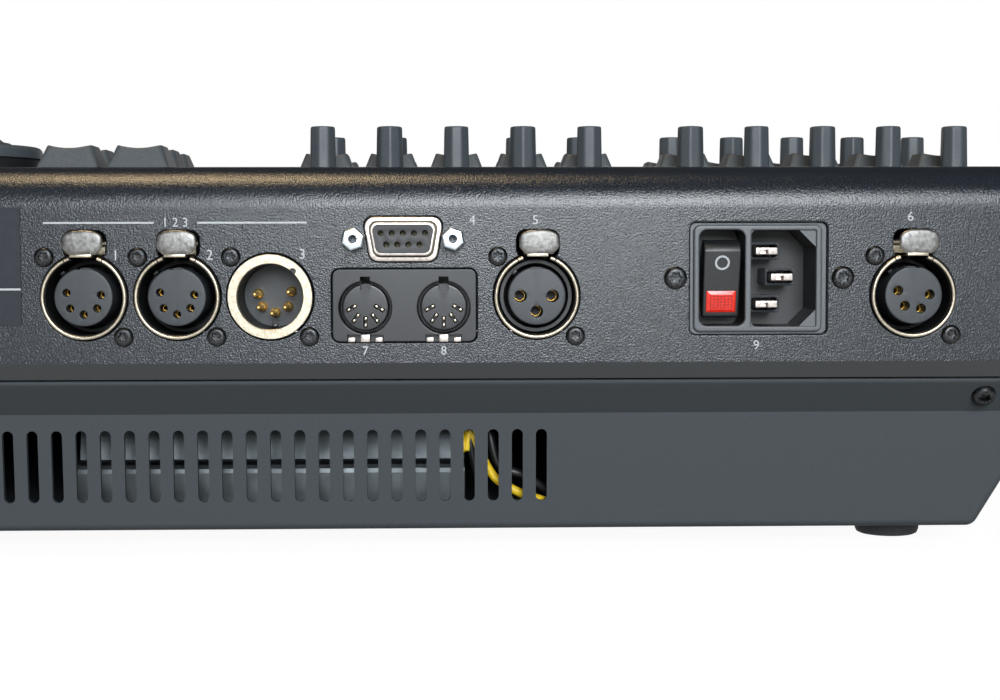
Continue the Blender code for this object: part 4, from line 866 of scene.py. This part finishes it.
def knob_form(height):
    """A slim knob with eight flats."""
    rings = []
    for share, level, flats in (
        (0.9, 0.3, 0), (1.05, 0.35, 0), (1.07, 0.6, 0), (1.06, 1.5, 0), (1.04, 1.9, 0.6), (1.03, 2.4, 1),
        (1.0, 7.0, 1), (0.97, height - 1.0, 1), (0.96, height - 0.55, 1), (0.92, height - 0.25, 0.8),
        (0.85, height - 0.16, 0.4), (0.5, height - 0.05, 0),
    ):
        ring = []
        for i in range(64):
            angle = 2 * math.pi * i / 64
            across = (angle + math.pi / 8) % (math.pi / 4) - math.pi / 8
            flat = min(FLAT_REACH / math.cos(across), CORNER_REACH)
            reach = share * (ROUND_REACH + flats * (flat - ROUND_REACH))
            ring.append((reach * math.cos(angle), reach * math.sin(angle), level))
        rings.append(ring)
    return skin([[(0, 0, 0.3)], *rings, [(0, 0, height)]])


for number in range(20):
    node = f"{('rear', 'front')[number // 10]}_knob_{number % 10 + 1:02d}"
    spun = spot(*middle_of(node)[:2], PANEL_TOP) @ Matrix.Rotation(math.radians(71 * number % 45), 4, "Z")
    shaft = turned([(0, -6), (1.5, -6), (1.5, 1), (0, 1)], 16)
    form = gathered([knob_form(box_of(node)[1][2] - PANEL_TOP), shaft])
    piece = add_piece(f"{node}_cap", form, grey_ABS, node, spun, 22)
    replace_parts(piece, node)

# Keys: square caps of grey silicone rubber over one moulded mat to a block, with sloping flanks and a top
# that is dished for the fingertip. The rubber has a soft matt skin, and a small dark mark shows on the rear
# flank of each command key, where it was cut from its moulding gate.

grey_silicone = grained(
    new_finish("matt_grey_silicone", "#484e53", 0.5, Specular_IOR_Level=0.3),
    0.6, 0.015, ("#444a4f", "#4c5257"), (0.44, 0.56),
)
KEY_TOP = box_of("rear_key_row")[1][2] - PANEL_TOP


def key_ring(half, radius, level, dip=0.0):
    """A square ring of points with round corners, sagging between its left and right sides."""
    flat = half - radius
    quarter = [(half, flat * i / 3) for i in range(-2, 3)] + arc((flat, flat), radius, 0, 90, 5)
    ring = []
    for turn in range(4):
        for a, b in quarter:
            x, y = ((a, b), (-b, a), (-a, -b), (b, -a))[turn]
            ring.append((x, y, level - dip * (1 - min(1, (x / 5.8) ** 2))))
    return ring


def key_cap():
    """A square key with sloping flanks and a dished top."""
    rings = [key_ring(8.2, 0.7, -3.5), key_ring(8.2, 0.7, 0.4), key_ring(8.0, 0.8, 0.8)]
    for i in range(1, 7):
        level = 0.8 + (KEY_TOP - 1.3) * i / 6
        rings.append(key_ring(8.0 - 2.0 * i / 6, 0.8 + 0.2 * i, level, 0.9 * (i / 6) ** 2))
    rings += [key_ring(5.85, 2.0, KEY_TOP - 0.2, 0.9), key_ring(5.55, 2.0, KEY_TOP, 0.9)]
    rings += [key_ring(5.1, 1.9, KEY_TOP - 0.06, 0.9)]
    rings += [key_ring(5.1 * share, 1.9 * share, KEY_TOP - 0.12, 0.88) for share in (0.75, 0.5, 0.25)]
    return skin(rings)


def key_block(name, places, webs):
    """The keys of one block and the web of the mat that joins them under the panel."""
    level = box_of(name)[0][2]
    forms = [moved(key_cap(), spot(x, y, PANEL_TOP)) for x, y in places]
    forms += [block((x0, y0, level), (x1, y1, level + 1.4), 0.2) for x0, y0, x1, y1 in webs]
    piece = add_piece(f"{name}_caps", gathered(forms), grey_silicone, name, crease=50)
    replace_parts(piece, name)


for row in ("rear_key_row", "front_key_row", "flash_key_row"):
    low, high = box_of(row)
    places = [(x, middle_of(row)[1]) for x in column_x]
    key_block(row, places, [(low[0], low[1] + 3, high[0], high[1] - 3)])
low, high = box_of("command_keys")
KEY_PITCH = 18.2
first_y = high[1] - 8.3
places = [(16.9 + KEY_PITCH * i, first_y - KEY_PITCH * j) for i in range(2) for j in (0, 1, 2, 6, 7, 8)]
places += [(109.5 + KEY_PITCH * i, first_y - KEY_PITCH * j) for i in range(5) for j in range(5)]
pad_front = first_y - 4 * KEY_PITCH
webs = [(low[0], low[1] + 2, 43.3, high[1] - 2), (101, pad_front - 6.5, high[0], high[1] - 2)]
key_block("command_keys", places, [*webs, (43, pad_front - 4, 101.5, pad_front + 4)])
tilt = math.atan2(2.0, KEY_TOP - 1.3)
stand = Matrix.Rotation(tilt, 4, "X") @ Matrix.Rotation(math.pi / 2, 4, "X") @ Matrix.Scale(-1, 4, (0, 0, 1))


def drop_outline(growth):
    """A round outline drawn out on one side."""
    return [(a, b * (1.5 if b > 0 else 1)) for a, b in circle(0.5 + growth, 16)]


gates = []
for x, y in places:
    mark = tiered(drop_outline, [(0, -0.2), (0, 0.02), (-0.2, 0.05)])
    gates.append(moved(mark, spot(x, y + 7.42, PANEL_TOP + 2.1) @ stand))
add_piece("key_gate_marks", gathered(gates), black_moulding, "command_keys")

# Faders: ten moulded caps with sloping finger faces and a white line across the middle. Each is pressed onto
# a flat steel stem that runs down into the zinc-plated fader bank under the panel.

cap_plastic = grained(
    new_finish("black_satin_cap_ABS", "#26282a", 0.34), 0.5, 0.008, ("#232527", "#2a2c2e"), (0.3, 0.4)
)
stem_steel = grained(new_finish("bright_rolled_steel", "#b4b6b7", 0.32, 1.0), 0.5, 0.01, stretch=(1, 1, 8))
for number, x in enumerate(column_x, 1):
    node = f"fader_cap_{number:02d}"
    low, high = box_of(node)
    top = high[2]
    waist = top - 1.6
    foot = PANEL_TOP + 0.9
    side_view = [(7, foot), (7, waist - 1.2), (6.4, waist + 0.4), (5.2, top), (3.6, top - 0.35)]
    side_view += [(1.6, waist - 0.1), (0.45, waist - 0.1), (0.35, waist + 0.25)]
    side_view += [(-a, b) for a, b in reversed(side_view)]
    cap = moved(softened(prism(side_view, -4.25, 4.25), 0.35, 28, 2), ALONG_X)
    at = spot(x, middle_of(node)[1])
    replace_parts(add_piece(f"{node}_body", cap, cap_plastic, node, at), node)
    line = block((-4.0, -0.3, waist), (4.0, 0.3, waist + 0.32))
    add_piece(f"{node}_line", line, print_ink, node, at)
    stem = block((-0.6, -2.5, low[2]), (0.6, 2.5, foot + 2), 0.1)
    add_piece(f"{node}_stem", stem, stem_steel, node, at)

# Dual encoder: a broad dial on a hollow hub and a smaller knob on the shaft through it, both moulded in mid
# grey ABS. The dial has a finger dimple and a rounded rim; the skirt under the rim is coloured black, as
# painted shade under the overhanging rim.

low, high = box_of("encoder_dial")
dial_low, dial_top = PANEL_TOP - 0.1, high[2]
at = spot(*middle_of("encoder_dial")[:2])
profile = [(3.5, dial_top - 0.3), (3.5, dial_top), (13.2, dial_top), (16.6, dial_top - 0.5)]
profile += arc((19.4, dial_top - 1.6), 1.6, 90, 0, 8)
profile += [(21.0, dial_top - 3.3), (20.6, dial_top - 3.8), (20.5, dial_low + 1.2)]
profile += arc((19.7, dial_low + 1.1), 0.8, 0, -90, 4) + [(6.2, dial_low + 0.3), (6.2, low[2]), (3.5, low[2])]
dial = turned(profile, 120, loop=True)
dimple = turned([(0, -1.2), (2.2, -0.9), (3.6, -0.1), (4.3, 1.2), (0, 1.5)], 40)
dial = carved(dial, moved(dimple, spot(0, 16.0, dial_top - 0.3)))
# The skirt below the rim takes black nylon: painted shade under the overhanging rim.
dial = two_toned(dial, lambda middle, way: middle.z < dial_top - 3.4 and math.hypot(middle.x, middle.y) > 18)
piece = add_piece("encoder_dial_rim", dial, [grey_ABS, black_moulding], "encoder_dial", at)
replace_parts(piece, "encoder_dial")
knob_low, knob_high = box_of("encoder_knob")
top = knob_high[2]
profile = [(0, top - 0.25), (8.2, top - 0.15), (8.9, top), (9.6, top - 0.1), (10.2, top - 0.6)]
profile += [(10.9, top - 1.0), (12.2, top - 1.15), (12.7, top - 1.5), (12.8, top - 1.9)]
profile += [(3.0, dial_top + 0.15), (3.0, knob_low[2]), (0, knob_low[2])]
knob = turned(profile, 96)
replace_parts(add_piece("encoder_knob_cap", knob, grey_ABS, "encoder_knob", at), "encoder_knob")

# Inside: the board is green-masked glass laminate, the fader bodies and their plate are zinc-plated steel,
# and the power supply stands under a galvanised cover whose rounded edge shows behind the slots. The cover is
# coloured far darker than bright zinc, as painted shade inside the closed case.

solder_mask = grained(
    new_finish("green_solder_mask", "#1d5a38", 0.3), 2.2, 0.02, ("#194f31", "#22653f"), (0.24, 0.4)
)
zinc_plate = grained(
    new_finish("clear_zinc_plate", "#a6a9aa", 0.34, 1.0), 3.0, 0.01, ("#989b9d", "#b3b6b7"), (0.28, 0.42)
)
# Galvanised sheet coloured darker than the zinc plate: painted shade inside the case.
galvanised = grained(
    new_finish("galvanised_sheet_darkened_as_shade", "#5c6164", 0.45, 1.0), 6.0, 0.02, ("#525759", "#676c6f"), (0.34, 0.5)
)
dress("main_board", solder_mask, 0.1)
dress("fader_bank", zinc_plate, 0.12)
dress("power_supply", galvanised, 0.4)

# Wires behind the slots: the earth wire has a yellow sleeve with a green stripe on its far side, and two
# black supply leads run beside it. Soft vinyl over stranded copper, so they lie in easy curves.


def cable(points, radius, steps=6, sides=16):
    """A round wire that runs in easy curves through its points."""
    path = []
    ends = [points[0], *points, points[-1]]
    for a, b, c, d in zip(ends, ends[1:], ends[2:], ends[3:]):
        a, b, c, d = Vector(a), Vector(b), Vector(c), Vector(d)
        for i in range(steps):
            t = i / steps
            bend = (2 * a - 5 * b + 4 * c - d) * t ** 2 + (3 * b - a - 3 * c + d) * t ** 3
            path.append(0.5 * (2 * b + (c - a) * t + bend))
    path.append(Vector(points[-1]))
    side = Vector((1, 0, 0))
    rings = []
    for before, here, after in zip([path[0], *path], path, [*path[1:], path[-1]]):
        along = (after - before).normalized()
        side = (side - along * side.dot(along)).normalized()
        other = along.cross(side)
        rings.append([here + side * x + other * y for x, y in circle(radius, sides)])
    return skin(rings)


low, high = box_of("earth_wire")
supply_low, supply_high = box_of("power_supply")
wire_y = high[1] - 1.2
top = supply_high[2]
left = supply_low[0]
vinyl_yellow = grained(new_finish("yellow_vinyl_sleeve", "#e2bd22", 0.4), 1.0, 0.01, ("#d9b41c", "#ebc72c"))
vinyl_green = grained(new_finish("green_vinyl_stripe", "#3f9a3a", 0.4), 1.0, 0.01, ("#389034", "#47a341"))
vinyl_black = grained(
    new_finish("black_vinyl_sleeve", "#1b1c1e", 0.4), 1.0, 0.01, ("#17181a", "#202123"), (0.34, 0.48)
)
route = [
    (left + 6, wire_y - 12, top + 2.7), (left + 4.8, wire_y - 6, top + 3.2),
    (left + 2.4, wire_y - 1.2, top - 0.5), (left, wire_y, top - 9.4), (-69.5, wire_y, 30.3),
    (-71.1, wire_y, 26.4), (-75.9, wire_y, 17.8), (-82.2, wire_y, 13.7), (-88.6, wire_y - 1.2, 11.3),
    (left - 28.8, wire_y - 3.6, 8.5), (left - 37.2, wire_y - 6, 7.5),
]
earth = cable(route, 1.2)
for number, face in enumerate(earth.faces):
    face.material_index = int(number % 16 in (3, 4, 5, 6))
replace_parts(add_piece("earth_lead", earth, [vinyl_yellow, vinyl_green]), "earth_wire")
leads = [
    cable([(-62.5, 112, 36.5), (-66, 118, 36.6), (-68.6, 122, 32.0), (-69.6, wire_y, 27.4),
           (-71.2, wire_y - 1, 20.0), (-73.5, wire_y - 3, 12.6), (-77, wire_y - 7, 8.0)], 1.2),
    cable([(-69.5, 108, 37.4), (-72.5, 116, 34.6), (-74.6, 121, 29.8), (-77.4, wire_y - 2, 20.5),
           (-83.8, wire_y - 2, 17.9), (-92, wire_y - 4, 12.4), (-100, wire_y - 8, 8.1)], 1.2),
]
add_piece("supply_leads", gathered(leads), vinyl_black)

# Studio: a large table, white to the camera, under three soft lamps. A broad one and a higher one stand
# behind the camera and a warm one hangs overhead. The sky is dark above and at the sides, grey behind the
# camera and white behind the object.


def seen_directly(tree):
    """One for rays from the camera, off a glossy face or through a clear one, and nothing for the others."""
    ray = add_node(tree, "LightPath").outputs
    seen = add_node(tree, "Math", {0: ray["Is Camera Ray"], 1: ray["Is Glossy Ray"]}, operation="MAXIMUM")
    either = {0: seen.outputs[0], 1: ray["Is Transmission Ray"]}
    return add_node(tree, "Math", either, operation="MAXIMUM").outputs[0]


scene = bpy.context.scene
scene.view_settings.view_transform = "Standard"
table_paint = bpy.data.materials.new("white_table_laminate")
table_paint.use_nodes = True
tree = table_paint.node_tree
shader = tree.nodes["Principled BSDF"]
shader.inputs["Base Color"].default_value = linear("#4c4c4b")
shader.inputs["Roughness"].default_value = 0.7
glow = add_node(tree, "Math", {0: seen_directly(tree), 1: 0.94}, operation="MULTIPLY")
shader.inputs["Emission Color"].default_value = (1, 1, 1, 1)
tree.links.new(glow.outputs[0], shader.inputs["Emission Strength"])
table = bpy.data.meshes.new("table")
table.from_pydata([(-9, -9, 0), (9, -9, 0), (9, 9, 0), (-9, 9, 0)], [], [(0, 1, 2, 3)])
table.materials.append(table_paint)
table = bpy.data.objects.new("table", table)
scene.collection.objects.link(table)


def lamp(name, azimuth, elevation, distance, width, height, power, colour):
    """A soft square lamp aimed at the object, at an azimuth from the rear and an elevation in degrees."""
    made = bpy.data.objects.new(name, bpy.data.lights.new(name, "AREA"))
    made.data.shape = "RECTANGLE"
    made.data.size = width
    made.data.size_y = height
    made.data.energy = power
    made.data.color = colour
    turn, rise = math.radians(azimuth), math.radians(elevation)
    aim = Vector((-0.06, 0.05, 0.06))
    offset = Vector((-math.sin(turn) * math.cos(rise), math.cos(turn) * math.cos(rise), math.sin(rise)))
    made.location = aim + offset * distance
    made.rotation_euler = (-offset).to_track_quat("-Z", "Y").to_euler()
    scene.collection.objects.link(made)


lamp("broad_softbox", 3, 14, 1.5, 0.7, 0.44, 17, (0.91, 0.96, 1.0))
lamp("high_softbox", 14, 28, 1.5, 0.6, 0.34, 10.5, (0.93, 0.97, 1.0))
lamp("overhead_softbox", -70, 78, 1.45, 0.42, 0.42, 9.5, (1.0, 0.75, 0.44))
sky = bpy.data.worlds.new("studio_sky")
scene.world = sky
sky.use_nodes = True
tree = sky.node_tree
back = tree.nodes["Background"]
way = add_node(tree, "TexCoord").outputs["Generated"]
parts = add_node(tree, "SeparateXYZ", {"Vector": way}).outputs
turn = add_node(tree, "Math", {0: parts["Z"], 1: parts["Y"]}, operation="ARCTAN2").outputs[0]
share = add_node(tree, "Math", {0: turn, 1: math.pi}, operation="DIVIDE").outputs[0]
overhead = add_node(tree, "ValToRGB", {"Fac": share}, [
    (0.0, "#a4a8ac"), (0.08, "#8c9094"), (0.26, "#7c8084"), (0.31, "#4a4845"), (0.6, "#454341"),
    (0.64, "#303030"), (0.83, "#303030"), (1.0, "#8c8c8c"),
])
bearing = {"Value": parts["Y"], "From Min": -1.0, "From Max": 1.0}
bearing = add_node(tree, "MapRange", bearing).outputs["Result"]
horizon = add_node(tree, "ValToRGB", {"Fac": bearing}, [
    (0.04, "#ffffff"), (0.1, "#44474a"), (0.88, "#44474a"), (0.95, "#b4b6b8"),
])
level = add_node(tree, "ValToRGB", {"Fac": parts["Z"]}, [(0.17, 1.0), (0.26, 0.0)])
colours = {0: level.outputs["Color"], 6: overhead.outputs["Color"], 7: horizon.outputs["Color"]}
mix = add_node(tree, "Mix", colours, data_type="RGBA")
tree.links.new(mix.outputs[2], back.inputs["Color"])
strength = add_node(tree, "MapRange", {"Value": seen_directly(tree), "To Min": 0.25, "To Max": 1.0})
tree.links.new(strength.outputs["Result"], back.inputs["Strength"])

# Camera: at the rear of the unit, a little above it, 0.42 m from the wall. Its turn, dip and roll and its
# lens were solved from the socket pattern and the edges of the case.

LENS_PIXELS = 1663.0
CAMERA_PLACE = (-0.0665, 0.56275, 0.0758)
view = bpy.data.cameras.new("camera")
view.sensor_width = 36.0
view.lens = 36.0 * LENS_PIXELS / 1000
camera = bpy.data.objects.new("camera", view)
turn = math.radians(1.446)
dip = math.radians(3.18)
roll = math.radians(-0.126)
ahead = Vector((-math.sin(turn) * math.cos(dip), -math.cos(turn) * math.cos(dip), -math.sin(dip)))
right = ahead.cross(Vector((0, 0, 1))).normalized()
up = right.cross(ahead)
right, up = right * math.cos(roll) + up * math.sin(roll), up * math.cos(roll) - right * math.sin(roll)
camera.matrix_world = spot(*CAMERA_PLACE) @ Matrix((right, up, -ahead)).transposed().to_4x4()
scene.collection.objects.link(camera)
scene.camera = camera
